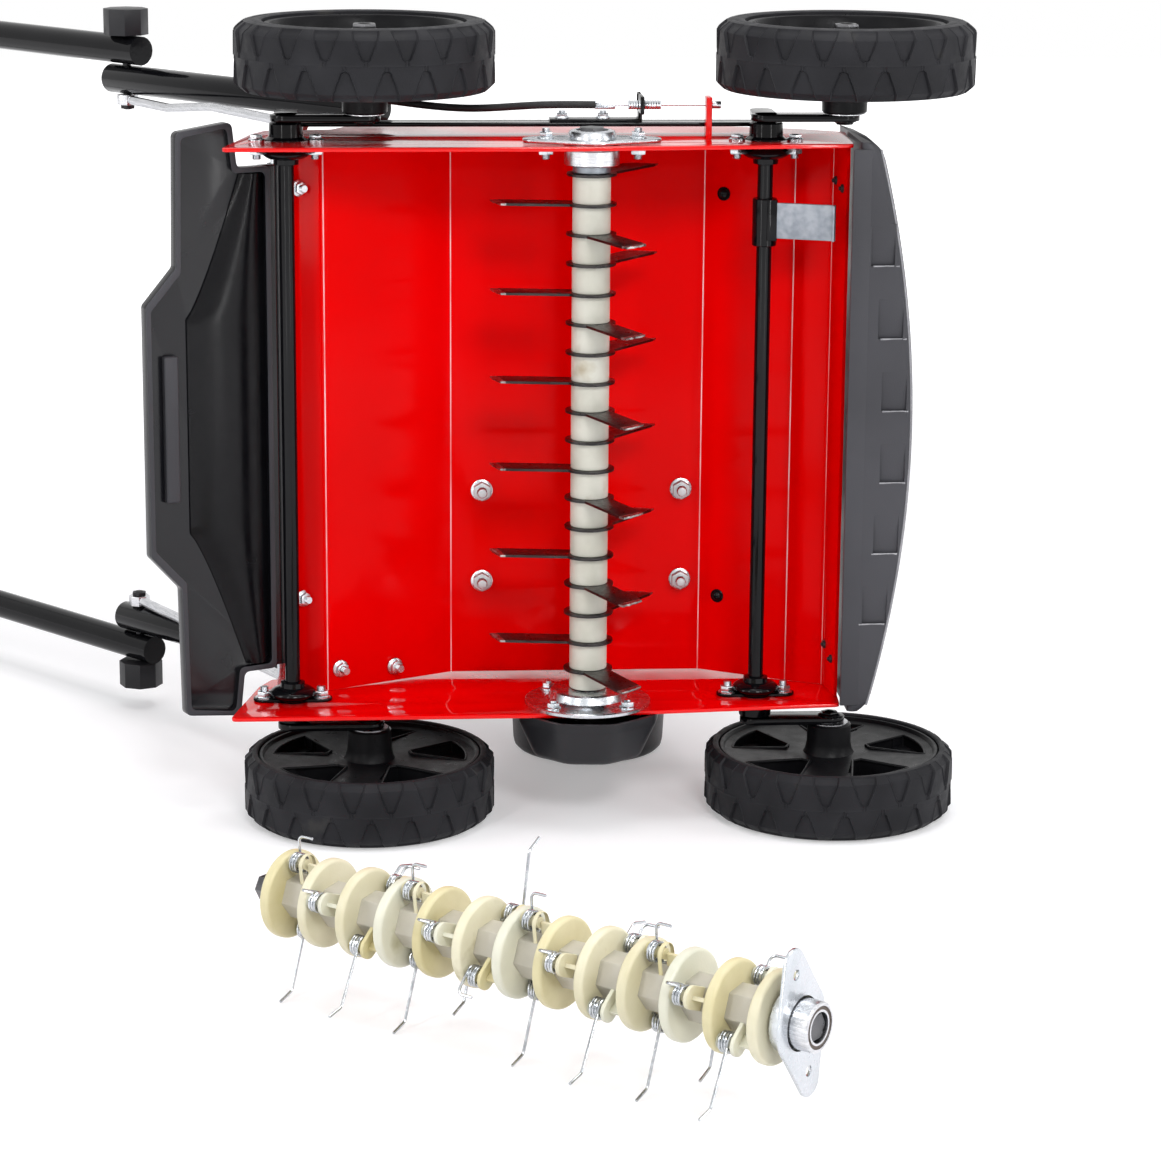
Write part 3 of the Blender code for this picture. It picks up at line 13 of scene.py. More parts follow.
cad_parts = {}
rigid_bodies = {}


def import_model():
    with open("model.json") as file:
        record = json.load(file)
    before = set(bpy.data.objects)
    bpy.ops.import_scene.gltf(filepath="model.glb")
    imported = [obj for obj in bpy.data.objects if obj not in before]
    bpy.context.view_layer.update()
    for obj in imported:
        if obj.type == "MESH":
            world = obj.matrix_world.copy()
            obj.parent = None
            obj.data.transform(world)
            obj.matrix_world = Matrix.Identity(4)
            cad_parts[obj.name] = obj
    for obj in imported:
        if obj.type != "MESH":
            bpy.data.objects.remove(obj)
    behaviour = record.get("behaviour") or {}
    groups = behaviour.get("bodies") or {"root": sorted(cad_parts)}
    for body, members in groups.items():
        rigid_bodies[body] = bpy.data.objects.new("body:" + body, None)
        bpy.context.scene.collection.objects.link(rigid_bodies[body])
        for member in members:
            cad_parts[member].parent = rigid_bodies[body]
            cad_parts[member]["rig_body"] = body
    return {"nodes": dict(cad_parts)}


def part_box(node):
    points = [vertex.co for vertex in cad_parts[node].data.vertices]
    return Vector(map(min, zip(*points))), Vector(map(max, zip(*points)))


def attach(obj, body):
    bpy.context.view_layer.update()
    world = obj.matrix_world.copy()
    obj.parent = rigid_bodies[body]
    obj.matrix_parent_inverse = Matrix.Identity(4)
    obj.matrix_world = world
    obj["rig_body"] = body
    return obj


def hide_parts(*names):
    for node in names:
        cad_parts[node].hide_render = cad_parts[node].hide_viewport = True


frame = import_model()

LOG = logging.getLogger("scarifier")
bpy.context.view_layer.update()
Point2 = tuple[float, float]
Outline = list[Point2]
Mesh = bpy.types.Mesh
Socket = bpy.types.NodeSocket
Node = bpy.types.Node
Floats = Sequence[float]
Feeds = dict[str | int, object]

# The machine's own coordinates start at the knife drum's axis above the wheels' ground plane. The row's
# origin is on the crankshaft, this far from there.
CRANK_X = 0.0156
CRANK_Y = 0.287


class Side(Enum):
    """The two sides of the machine, as seen by its operator."""

    LEFT = "left"
    RIGHT = "right"

    @property
    def outward(self) -> float:
        """The way that the side's outer face looks along Z."""
        return -1.0 if self is Side.LEFT else 1.0


class End(Enum):
    """The two axles of the machine."""

    REAR = "rear"
    FRONT = "front"

    @property
    def wheel_x(self) -> float:
        """The wheels' place along the machine."""
        return REAR_WHEEL_X if self is End.REAR else FRONT_WHEEL_X

    @property
    def rod_x(self) -> float:
        """The rod's place along the machine."""
        return REAR_ROD_X if self is End.REAR else FRONT_ROD_X


# Finishes
class Wiring:
    """A node tree that is filled in node by node."""

    def __init__(self, tree: bpy.types.NodeTree) -> None:
        """Take the tree of a material or of the world."""
        self.tree = tree

    def feed(self, node: Node, inputs: Feeds) -> None:
        """Give inputs of a node their values, or link them to the sockets that feed them.

        Args:
            node: The node.
            inputs: Each input with its value or its socket.
        """
        for name, source in inputs.items():
            if isinstance(source, Socket):
                self.tree.links.new(source, node.inputs[name])
            else:
                node.inputs[name].default_value = source

    def node(self, kind: str, inputs: Feeds, operation: str | None = None) -> Node:
        """Add a node.

        Args:
            kind: Its type.
            inputs: What its inputs get.
            operation: What it does, where its type can do several things.

        Returns:
            The node.
        """
        node = self.tree.nodes.new(kind)
        if operation:
            node.operation = operation
        self.feed(node, inputs)
        return node

    def remap(self, source: Socket, given: Point2, wanted: Point2) -> Socket:
        """Map one range of values onto another.

        Args:
            source: The values.
            given: The range's two ends.
            wanted: What the ends turn into.

        Returns:
            The mapped output.
        """
        ends = {"From Min": given[0], "From Max": given[1], "To Min": wanted[0], "To Max": wanted[1]}
        return self.node("ShaderNodeMapRange", {"Value": source, **ends}).outputs["Result"]

    def seen(self) -> Socket:
        """One where a ray comes from the camera, a reflection or clear material, else zero."""
        path = self.node("ShaderNodeLightPath", {})
        total = path.outputs["Is Camera Ray"]
        for name in ("Is Glossy Ray", "Is Transmission Ray"):
            total = self.node("ShaderNodeMath", {0: total, 1: path.outputs[name]}, "MAXIMUM").outputs[0]
        return total


class Paintbox(Wiring):
    """A material's node tree, which one finish fills in."""

    def __init__(self, name: str) -> None:
        """Start a material with an empty Principled shader.

        Args:
            name: The material's name.
        """
        self.material = bpy.data.materials.new(name)
        self.material.use_nodes = True
        super().__init__(self.material.node_tree)
        self.shader = self.tree.nodes["Principled BSDF"]
        self.place = self.node("ShaderNodeTexCoord", {}).outputs["Object"]

    def noise(self, scale: float, detail: float, stretch: Floats) -> Socket:
        """Add a noise pattern in the object's space.

        Args:
            scale: The pattern's frequency per metre.
            detail: How many finer layers it has.
            stretch: How much the pattern is scaled along each axis.

        Returns:
            The pattern's output.
        """
        mapping = self.node("ShaderNodeMapping", {"Vector": self.place, "Scale": stretch})
        space = {"Vector": mapping.outputs["Vector"]}
        return self.node("ShaderNodeTexNoise", {**space, "Scale": scale, "Detail": detail}).outputs["Fac"]

    def ramp(self, source: Socket, stops: Sequence[tuple[float, Floats]]) -> Socket:
        """Turn a pattern into colours.

        Args:
            source: The pattern.
            stops: Each place on the ramp with its colour.

        Returns:
            The colour output.
        """
        ramp = self.node("ShaderNodeValToRGB", {"Fac": source})
        elements = ramp.color_ramp.elements
        while len(elements) < len(stops):
            elements.new(0.5)
        for element, (place, colour) in zip(elements, stops):
            element.position = place
            element.color = (*colour, 1.0)
        return ramp.outputs["Color"]

    def bump(self, source: Socket, depth: float) -> None:
        """Raise the surface by a pattern.

        Args:
            source: The pattern.
            depth: The height of the relief in metres.
        """
        node = self.node("ShaderNodeBump", {"Height": source, "Strength": 1.0, "Distance": depth})
        self.feed(self.shader, {"Normal": node.outputs["Normal"]})


@dataclass(frozen=True)
class Finish:
    """One finish: two tones that a slow noise mixes, a roughness range and a fine relief."""

    name: str
    slot: str
    tones: tuple[Floats, Floats]
    rough: tuple[float, float]
    metallic: float = 0.0
    cloud: float = 12.0
    grain: float = 900.0
    relief: float = 0.0
    specular: float = 0.5
    stretch: tuple[float, float, float] = (1.0, 1.0, 1.0)
    stains: Floats | None = None

    def make(self) -> bpy.types.Material:
        """Build the material.

        Returns:
            The finished material.
        """
        box = Paintbox(self.name)
        stops = [(0.35, self.tones[0]), (0.65, self.tones[1])]
        if self.stains is not None:
            stops.append((0.78, self.stains))
        slow, fast = box.noise(self.cloud, 4.0, self.stretch), box.noise(self.cloud * 4, 5.0, self.stretch)
        wired = {"Base Color": box.ramp(slow, stops), "Roughness": box.remap(fast, (0.3, 0.7), self.rough)}
        box.feed(box.shader, {**wired, "Metallic": self.metallic, "Specular IOR Level": self.specular})
        if self.relief:
            box.bump(box.noise(self.grain, 2.0, self.stretch), self.relief)
        return box.material


class Finishes(Enum):
    """Every finish of the machine and its spare drum."""

    RED = Finish(
        "bright_red_enamel", "red_enamel", ((0.76, 0.0, 0.0), (0.84, 0.0, 0.0008)), (0.08, 0.15), cloud=5.0,
        grain=120.0, relief=0.00002, specular=0.05)
    PANEL = Finish(
        "red_enamel_panel", "red_enamel", ((0.76, 0.0, 0.0), (0.84, 0.0, 0.0008)), (0.06, 0.12), cloud=5.0,
        grain=90.0, relief=0.00003, specular=0.34)
    # Painted highlight: pinkish-white enamel that stands for the light caught by the deck's rounded folds.
    FOLD = Finish(
        "red_enamel_painted_fold_highlight", "red_enamel", ((0.84, 0.16, 0.16), (0.95, 0.62, 0.62)), (0.08, 0.14), cloud=16.0,
        grain=200.0, relief=0.00002, specular=0.8)
    BLACK = Finish(
        "gloss_black_enamel", "black_paint", ((0.002, 0.002, 0.003), (0.004, 0.004, 0.005)), (0.07, 0.14),
        cloud=20.0, grain=300.0, relief=0.00003, specular=0.17)
    FLAP = Finish(
        "gloss_black_plastic", "black_plastic", ((0.005, 0.005, 0.007), (0.009, 0.009, 0.011)), (0.17, 0.28),
        cloud=9.0, grain=700.0, relief=0.00004, specular=0.34)
    PLASTIC = Finish(
        "black_moulded_plastic", "black_plastic", ((0.012, 0.012, 0.014), (0.02, 0.02, 0.023)), (0.34, 0.46),
        cloud=10.0, grain=1500.0, relief=0.00012, specular=0.26)
    BUMPER = Finish(
        "grey_moulded_plastic", "bumper_plastic", ((0.044, 0.044, 0.05), (0.058, 0.058, 0.066)), (0.36, 0.48),
        cloud=8.0, grain=1400.0, relief=0.00012, specular=0.22)
    # Painted highlight: light grey plastic that stands for the light caught along the bumper's front edge and
    # louvre steps.
    RIDGE = Finish(
        "grey_plastic_painted_highlight", "bumper_plastic", ((0.2, 0.2, 0.215), (0.3, 0.3, 0.32)), (0.2, 0.32),
        cloud=30.0, specular=0.5)
    WHEEL = Finish(
        "wheel_plastic", "black_plastic", ((0.004, 0.004, 0.005), (0.009, 0.009, 0.01)), (0.26, 0.4),
        cloud=24.0, grain=1500.0, relief=0.0001, specular=0.09)
    TYRE = Finish(
        "tyre_rubber", "tyre", ((0.01, 0.01, 0.012), (0.018, 0.018, 0.021)), (0.46, 0.64), cloud=30.0,
        grain=1100.0, relief=0.00018, stains=(0.04, 0.039, 0.038), specular=0.15)
    ZINC = Finish(
        "bright_zinc", "zinc_plate", ((0.54, 0.57, 0.6), (0.62, 0.64, 0.67)), (0.22, 0.32), metallic=1.0,
        cloud=34.0)
    DULL = Finish(
        "dull_galvanised_steel", "zinc_plate", ((0.2, 0.22, 0.25), (0.29, 0.31, 0.34)), (0.4, 0.52),
        metallic=0.8, cloud=160.0, grain=900.0, relief=0.0001)
    STEEL = Finish(
        "dark_oiled_steel", "dark_steel", ((0.07, 0.07, 0.075), (0.14, 0.14, 0.145)), (0.26, 0.44),
        metallic=1.0, cloud=60.0, grain=1200.0, relief=0.00006)
    KNIFE = Finish(
        "hardened_knife_steel", "knife_steel", ((0.022, 0.021, 0.022), (0.05, 0.046, 0.046)), (0.24, 0.42),
        metallic=0.9, cloud=55.0, grain=700.0, relief=0.00008, stains=(0.12, 0.1, 0.09))
    EDGE = Finish(
        "worn_knife_edge", "knife_steel", ((0.16, 0.15, 0.15), (0.46, 0.45, 0.44)), (0.22, 0.4), metallic=1.0,
        cloud=140.0, grain=900.0, relief=0.00008)
    IVORY = Finish(
        "stained_ivory_spacer", "knife_steel", ((0.56, 0.55, 0.47), (0.7, 0.69, 0.61)), (0.28, 0.42),
        cloud=26.0, grain=600.0, relief=0.00006, stains=(0.44, 0.38, 0.26), specular=0.4)
    CREAM = Finish(
        "cream_moulded_nylon", "cream_nylon", ((0.66, 0.61, 0.41), (0.77, 0.73, 0.55)), (0.3, 0.46),
        cloud=22.0, grain=700.0, relief=0.00008, stains=(0.45, 0.39, 0.21), specular=0.4)
    AMBER = Finish(
        "aged_amber_nylon", "cream_nylon", ((0.61, 0.54, 0.29), (0.74, 0.68, 0.44)), (0.3, 0.46), cloud=24.0,
        grain=700.0, relief=0.00008, stains=(0.4, 0.32, 0.12), specular=0.4)
    PALE = Finish(
        "pale_green_nylon", "cream_nylon", ((0.66, 0.66, 0.54), (0.76, 0.75, 0.62)), (0.3, 0.46), cloud=22.0,
        grain=700.0, relief=0.00008, stains=(0.46, 0.44, 0.28), specular=0.4)
    HUB = Finish(
        "grey_nylon", "cream_nylon", ((0.44, 0.42, 0.36), (0.55, 0.52, 0.45)), (0.34, 0.5), cloud=26.0,
        grain=700.0, relief=0.00008, stains=(0.36, 0.33, 0.25), specular=0.4)
    CHROME = Finish(
        "ground_bearing_steel", "bearing_steel", ((0.52, 0.53, 0.55), (0.7, 0.7, 0.72)), (0.24, 0.34),
        metallic=1.0, cloud=90.0, stretch=(1.0, 1.0, 14.0))
    SPRING = Finish(
        "plated_spring_wire", "cream_nylon", ((0.36, 0.38, 0.4), (0.58, 0.6, 0.62)), (0.14, 0.28),
        metallic=1.0, cloud=120.0)
    CASTING = Finish(
        "die_cast_aluminium", "casting", ((0.4, 0.41, 0.42), (0.52, 0.53, 0.54)), (0.42, 0.58), metallic=1.0,
        cloud=30.0, grain=1300.0, relief=0.0002)
    RUBBER = Finish(
        "black_rubber", "rubber", ((0.012, 0.012, 0.013), (0.02, 0.02, 0.021)), (0.5, 0.68), cloud=40.0,
        grain=1500.0, relief=0.0001, specular=0.3)
    SEAL = Finish(
        "brown_bearing_seal", "bearing_steel", ((0.06, 0.045, 0.035), (0.1, 0.075, 0.06)), (0.45, 0.6),
        cloud=60.0)

    @property
    def material(self) -> bpy.types.Material:
        """The Blender material of this finish, made when first asked for."""
        found = bpy.data.materials.get(self.value.name)
        return found or self.value.make()


# Mesh making
class Forms:
    """Shared ways to make a mesh, in the machine's own coordinates."""

    @staticmethod
    def settle(bm: bmesh.types.BMesh) -> Mesh:
        """Close a bmesh into a mesh with its faces pointing out.

        Args:
            bm: The shape, which is freed.

        Returns:
            The mesh.
        """
        bmesh.ops.recalc_face_normals(bm, faces=bm.faces)
        mesh = bpy.data.meshes.new("form")
        bm.to_mesh(mesh)
        bm.free()
        return mesh

    @staticmethod
    def linked(name: str, data: bpy.types.ID) -> bpy.types.Object:
        """A new object in the scene."""
        obj = bpy.data.objects.new(name, data)
        bpy.context.scene.collection.objects.link(obj)
        return obj

    @staticmethod
    def skin(bm: bmesh.types.BMesh, rows: Sequence[list[bmesh.types.BMVert]], looped: bool) -> None:
        """Join rows of points by faces.

        Args:
            bm: The shape.
            rows: The rows, equally long.
            looped: Whether each row runs back to its start.
        """
        for first, second in zip(rows, rows[1:]):
            if looped:
                first, second = first + first[:1], second + second[:1]
            for corners in zip(first, first[1:], second[1:], second):
                bm.faces.new(corners)

    @staticmethod
    def turned(profile: Sequence[Point2], x: float, y: float, sides: int = 64) -> Mesh:
        """Spin a closed section of radius and height about an upright axis.

        Args:
            profile: The section.
            x: The axis's place along the machine.
            y: The axis's place above the wheels' ground plane.
            sides: Steps round the axis.

        Returns:
            The turned mesh.
        """
        bm = bmesh.new()
        ring = [bm.verts.new((x + r, y, z)) for r, z in profile]
        edges = [bm.edges.new(pair) for pair in zip(ring, ring[1:] + ring[:1])]
        bmesh.ops.spin(
            bm, geom=ring + edges, cent=(x, y, 0), axis=(0, 0, 1), angle=tau, steps=sides, use_merge=True)
        bmesh.ops.remove_doubles(bm, verts=bm.verts, dist=0.00001)
        return Forms.settle(bm)

    @staticmethod
    def rod(start: Floats, end: Floats, radius: float, sides: int = 24, edge: float = 0.0) -> Mesh:
        """A straight round bar.

        Args:
            start: The centre of its first face.
            end: The centre of its second face.
            radius: Its radius.
            sides: Faces round it.
            edge: How far its rims are bevelled.

        Returns:
            The mesh.
        """
        first, last = Vector(start), Vector(end)
        bm = bmesh.new()
        bmesh.ops.create_cone(
            bm, cap_ends=True, segments=sides, radius1=radius, radius2=radius, depth=(last - first).length)
        if edge:
            rims = [e for e in bm.edges if abs(e.verts[0].co.z - e.verts[1].co.z) < 1e-6]
            bmesh.ops.bevel(bm, geom=rims, offset=edge, segments=2, profile=0.5, affect="EDGES")
        aim = (last - first).to_track_quat("Z", "Y").to_matrix().to_4x4()
        bmesh.ops.transform(bm, matrix=Matrix.Translation((first + last) / 2) @ aim, verts=bm.verts)
        return Forms.settle(bm)

    @staticmethod
    def block(low: Floats, high: Floats, bevel: float = 0.0) -> Mesh:
        """A box with rounded edges.

        Args:
            low: Its lowest corner.
            high: Its highest corner.
            bevel: The rounding of its edges.

        Returns:
            The mesh.
        """
        low, high = Vector(low), Vector(high)
        bm = bmesh.new()
        bmesh.ops.create_cube(bm, size=1.0)
        size = Matrix.Diagonal((*(high - low), 1.0))
        bmesh.ops.transform(bm, matrix=Matrix.Translation((low + high) / 2) @ size, verts=bm.verts)
        if bevel:
            bmesh.ops.bevel(bm, geom=bm.edges, offset=bevel, segments=3, profile=0.5, affect="EDGES")
        return Forms.settle(bm)

    @staticmethod
    def from_curve(curve: bpy.types.Curve) -> Mesh:
        """Turn a curve into a welded mesh.

        Args:
            curve: The curve, which is removed.

        Returns:
            The mesh.
        """
        obj = Forms.linked("curve", curve)
        bpy.context.view_layer.update()
        mesh = bpy.data.meshes.new_from_object(obj.evaluated_get(bpy.context.evaluated_depsgraph_get()))
        bpy.data.objects.remove(obj)
        bm = bmesh.new()
        bm.from_mesh(mesh)
        bmesh.ops.remove_doubles(bm, verts=bm.verts, dist=0.000002)
        return Forms.settle(bm)

    @staticmethod
    def plate(outlines: Iterable[Outline], z0: float, z1: float, edge: float = 0.0003) -> Mesh:
        """A flat plate with holes and softened edges.

        Args:
            outlines: Its closed outline and those of its holes.
            z0: Its lower face.
            z1: Its upper face.
            edge: The rounding of its edges.

        Returns:
            The mesh.
        """
        curve = bpy.data.curves.new("outline", "CURVE")
        curve.dimensions = "2D"
        curve.fill_mode = "BOTH"
        curve.extrude = (z1 - z0) / 2 - edge
        curve.bevel_depth = edge
        curve.bevel_resolution = 1
        curve.offset = -edge
        for outline in outlines:
            spline = curve.splines.new("POLY")
            spline.points.add(len(outline) - 1)
            for point, (x, y) in zip(spline.points, outline):
                point.co = (x, y, 0.0, 1.0)
            spline.use_cyclic_u = True
        mesh = Forms.from_curve(curve)
        mesh.transform(Matrix.Translation((0, 0, (z0 + z1) / 2)))
        return mesh

    @staticmethod
    def tube(points: Iterable[Floats], radius: float, resolution: int = 4, closed: bool = False) -> Mesh:
        """A round bar, wire or sleeve along points.

        Args:
            points: Its centre line.
            radius: Its radius.
            resolution: The fineness of its section.
            closed: Whether it runs back to its start.

        Returns:
            The mesh.
        """
        curve = bpy.data.curves.new("line", "CURVE")
        curve.dimensions = "3D"
        curve.bevel_depth = radius
        curve.bevel_resolution = resolution
        curve.use_fill_caps = not closed
        points = list(points)
        spline = curve.splines.new("POLY")
        spline.points.add(len(points) - 1)
        for point, place in zip(spline.points, points):
            point.co = (*place, 1.0)
        spline.use_cyclic_u = closed
        return Forms.from_curve(curve)

    @staticmethod
    def loft(sections: Sequence[tuple[Sequence[Point2], float]]) -> Mesh:
        """A closed skin over outlines at several heights.

        Args:
            sections: Each outline with its height.

        Returns:
            The mesh.
        """
        bm = bmesh.new()
        rings = [[bm.verts.new((x, y, z)) for x, y in outline] for outline, z in sections]
        Forms.skin(bm, rings, True)
        bm.faces.new(rings[0])
        bm.faces.new(rings[-1])
        return Forms.settle(bm)

    @staticmethod
    def moved(mesh: Mesh, matrix: Matrix) -> Mesh:
        """A copy of a mesh in another place."""
        copy = mesh.copy()
        copy.transform(matrix)
        return copy

    @staticmethod
    def carved(mesh: Mesh, cutters: Iterable[Mesh]) -> Mesh:
        """Cut shapes out of a mesh.

        Args:
            mesh: The body.
            cutters: The shapes to take away.

        Returns:
            The cut mesh.
        """
        body = Forms.linked("body", mesh)
        helpers = [Forms.linked("cutter", cutter) for cutter in cutters]
        for helper in helpers:
            step = body.modifiers.new("cut", "BOOLEAN")
            step.operation = "DIFFERENCE"
            step.solver = "EXACT"
            step.object = helper
        bpy.context.view_layer.update()
        result = bpy.data.meshes.new_from_object(body.evaluated_get(bpy.context.evaluated_depsgraph_get()))
        for obj in [body, *helpers]:
            bpy.data.objects.remove(obj)
        return result

    @staticmethod
    def bevelled(mesh: Mesh, width: float, segments: int) -> Mesh:
        """Merge a mesh's flat faces and round its sharp edges.

        Args:
            mesh: The mesh.
            width: The rounding.
            segments: Steps across each rounding.

        Returns:
            The rounded mesh.
        """
        bm = bmesh.new()
        bm.from_mesh(mesh)
        bmesh.ops.remove_doubles(bm, verts=bm.verts, dist=0.000005)
        bmesh.ops.dissolve_limit(bm, angle_limit=radians(1.0), verts=bm.verts, edges=bm.edges)
        least = radians(30.0)
        sharp = [e for e in bm.edges if len(e.link_faces) == 2 and e.calc_face_angle(0.0) > least]
        bmesh.ops.bevel(
            bm, geom=sharp, offset=width, segments=segments, profile=0.5, affect="EDGES", clamp_overlap=True)
        return Forms.settle(bm)


class Lines:
    """Outlines in the machine's side view and smooth runs in space."""

    @staticmethod
    def arc(x: float, y: float, radius: float, start: float, end: float, steps: int) -> Outline:
        """Points along an arc, its angles in degrees."""
        turns = [radians(start + (end - start) * i / steps) for i in range(steps + 1)]
        return [(x + radius * cos(a), y + radius * sin(a)) for a in turns]

    @staticmethod
    def circle(x: float, y: float, radius: float, sides: int = 48) -> Outline:
        """Points round a circle."""
        return Lines.arc(x, y, radius, 0, 360 - 360 / sides, sides - 1)

    @staticmethod
    def slot(start: Point2, end: Point2, radius: float, steps: int = 12) -> Outline:
        """The outline of a bar with round ends."""
        lean = degrees(atan2(end[1] - start[1], end[0] - start[0]))
        return (
            Lines.arc(*end, radius, lean - 90, lean + 90, steps)
            + Lines.arc(*start, radius, lean + 90, lean + 270, steps))

    @staticmethod
    def ring(inner: float, outer: float, low: float, high: float, cut: float) -> Outline:
        """The section of a ring, with the outer rims cut off at an angle."""
        return [
            (inner, low), (outer - cut, low), (outer, low + cut), (outer, high - cut), (outer - cut, high),
            (inner, high)]

    @staticmethod
    def rounded(corners: Sequence[Point2], radius: float, steps: int = 4) -> Outline:
        """An outline with its corners rounded.

        Args:
            corners: The closed outline's corners.
            radius: The rounding.
            steps: Steps round each corner.

        Returns:
            The rounded outline.
        """
        line = []
        for i, corner in enumerate(corners):
            here = Vector(corner)
            inward = Vector(corners[i - 1]) - here
            outward = Vector(corners[(i + 1) % len(corners)]) - here
            half = inward.angle(outward) / 2
            reach = min(radius / tan(half), inward.length * 0.45, outward.length * 0.45)
            start, end = here + inward.normalized() * reach, here + outward.normalized() * reach
            for k in range(steps + 1):
                t = k / steps
                line.append(tuple(start * (1 - t) ** 2 + here * 2 * t * (1 - t) + end * t * t))
        return line

    @staticmethod
    def smooth(knots: Sequence[Floats], steps: int) -> list[Vector]:
        """Points of a smooth curve through knots in space.

        Args:
            knots: The points that it passes.
            steps: Points on each stretch.

        Returns:
            The curve's points.
        """
        knots = [Vector(k) for k in knots]
        ends = [knots[0] * 2 - knots[1]] + knots + [knots[-1] * 2 - knots[-2]]
        line = []
        for a, b, c, d in zip(ends, ends[1:], ends[2:], ends[3:]):
            for i in range(steps):
                t = i / steps
                bend = (a * 2 - b * 5 + c * 4 - d) * t * t
                sway = (b * 3 - a - c * 3 + d) * t ** 3
                line.append((b * 2 + (c - a) * t + bend + sway) / 2)
        return line + [knots[-1]]

    @staticmethod
    def bent(corners: Sequence[Floats], radius: float, steps: int = 12) -> list[Vector]:
        """A polyline in space with its inner corners rounded to a radius."""
        corners = [Vector(p) for p in corners]
        line = [corners[0]]
        for before, corner, after in zip(corners, corners[1:], corners[2:]):
            inward = (before - corner).normalized()
            outward = (after - corner).normalized()
            half = inward.angle(outward) / 2
            reach = radius / tan(half)
            start, end = corner + inward * reach, corner + outward * reach
            centre = corner + (inward + outward).normalized() * radius / sin(half)
            for i in range(steps + 1):
                chord = start.lerp(end, i / steps) - centre
                line.append(centre + chord.normalized() * radius)
        return line + [corners[-1]]


@dataclass
class Piece:
    """One visible piece: meshes with their finishes, on a body of the model."""

    name: str
    finish: Finishes
    body: str = "machine"
    meshes: list[tuple[Mesh, Finishes]] = field(default_factory=list)

    def add(self, mesh: Mesh, finish: Finishes | None = None) -> "Piece":
        """Take in a mesh, of the piece's own finish where none is named."""
        self.meshes.append((mesh, finish or self.finish))
        return self

    def take(self, meshes: Iterable[Mesh], finish: Finishes | None = None) -> "Piece":
        """Take in several meshes of one finish."""
        for mesh in meshes:
            self.add(mesh, finish)
        return self

    def place(self, *nodes: str, crease: float = 34.0) -> bpy.types.Object:
        """Join the meshes, set the piece on its body and let it stand for its nodes.

        Args:
            nodes: The CAD nodes that it stands for.
            crease: Edges that turn more than this many degrees stay sharp.

        Returns:
            The piece's object.
        """
        bm = bmesh.new()
        finishes: list[Finishes] = []
        for mesh, finish in self.meshes:
            if finish not in finishes:
                finishes.append(finish)
            start = len(bm.faces)
            bm.from_mesh(mesh)
            bm.faces.ensure_lookup_table()
            for face in bm.faces[start:]:
                face.material_index = finishes.index(finish)
        bmesh.ops.translate(bm, vec=(-CRANK_X, -CRANK_Y, 0.0), verts=bm.verts)
        joined = bpy.data.meshes.new(self.name)
        bm.to_mesh(joined)
        bm.free()
        for finish in finishes:
            joined.materials.append(finish.material)
        joined.shade_smooth()
        joined.set_sharp_from_angle(angle=radians(crease))
        obj = Forms.linked(self.name, joined)
        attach(obj, self.body)
        if nodes:
            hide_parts(*nodes)
        LOG.info("%s: %d faces on %s", self.name, len(joined.polygons), self.body)
        return obj


class Hardware:
    """Small fastenings, each a list of meshes at a point, standing along an axis."""

    @staticmethod
    def stand(meshes: Iterable[Mesh], at: Floats, axis: Floats) -> list[Mesh]:
        """Turn meshes that stand along Z to an axis and set them at a point."""
        aim = Vector(axis).to_track_quat("Z", "Y").to_matrix().to_4x4()
        return [Forms.moved(mesh, Matrix.Translation(at) @ aim) for mesh in meshes]

    @staticmethod
    def screw(at: Floats, axis: Floats, radius: float) -> list[Mesh]:
        """A pan-head screw with a cross recess on a washer.

        Args:
            at: The seat's centre.
            axis: The direction away from the seat.
            radius: The head's radius.

        Returns:
            The meshes.
        """
        dome = Lines.arc(0, radius * 0.15, radius, 8, 90, 8)
        section = [(0.0, 0.0008), (radius, 0.0008)] + [(r, 0.0008 + h * 0.62) for r, h in dome]
        head = Forms.turned(section, 0, 0, 32)
        top = 0.0008 + radius * 1.15 * 0.62
        long, short = radius * 0.62, radius * 0.11
        cross = [
            Forms.block((-x, -y, top - 0.0012), (x, y, top + 0.01))
            for x, y in ((long, short), (short, long))]
        rim = radius * 1.45
        washer = Forms.turned([
            (0.0, 0.0), (rim, 0.0), (rim, 0.0007), (radius * 1.35, 0.001), (0.0, 0.001)], 0, 0, 32)
        return Hardware.stand([Forms.carved(head, cross), washer], at, axis)

    @staticmethod
    def push_clip(at: Floats, axis: Floats, radius: float) -> list[Mesh]:
        """A plastic expansion clip: a stepped round head with a pin in it."""
        skirt = Forms.turned([
            (0.0, 0.0), (radius, 0.0), (radius, 0.0008), (radius * 0.8, 0.0018), (0.0, 0.0018)], 0, 0, 32)
        pin = Forms.rod((0, 0, 0.0015), (0, 0, 0.0034), radius * 0.45, 24, edge=0.0004)
        return Hardware.stand([skirt, pin], at, axis)


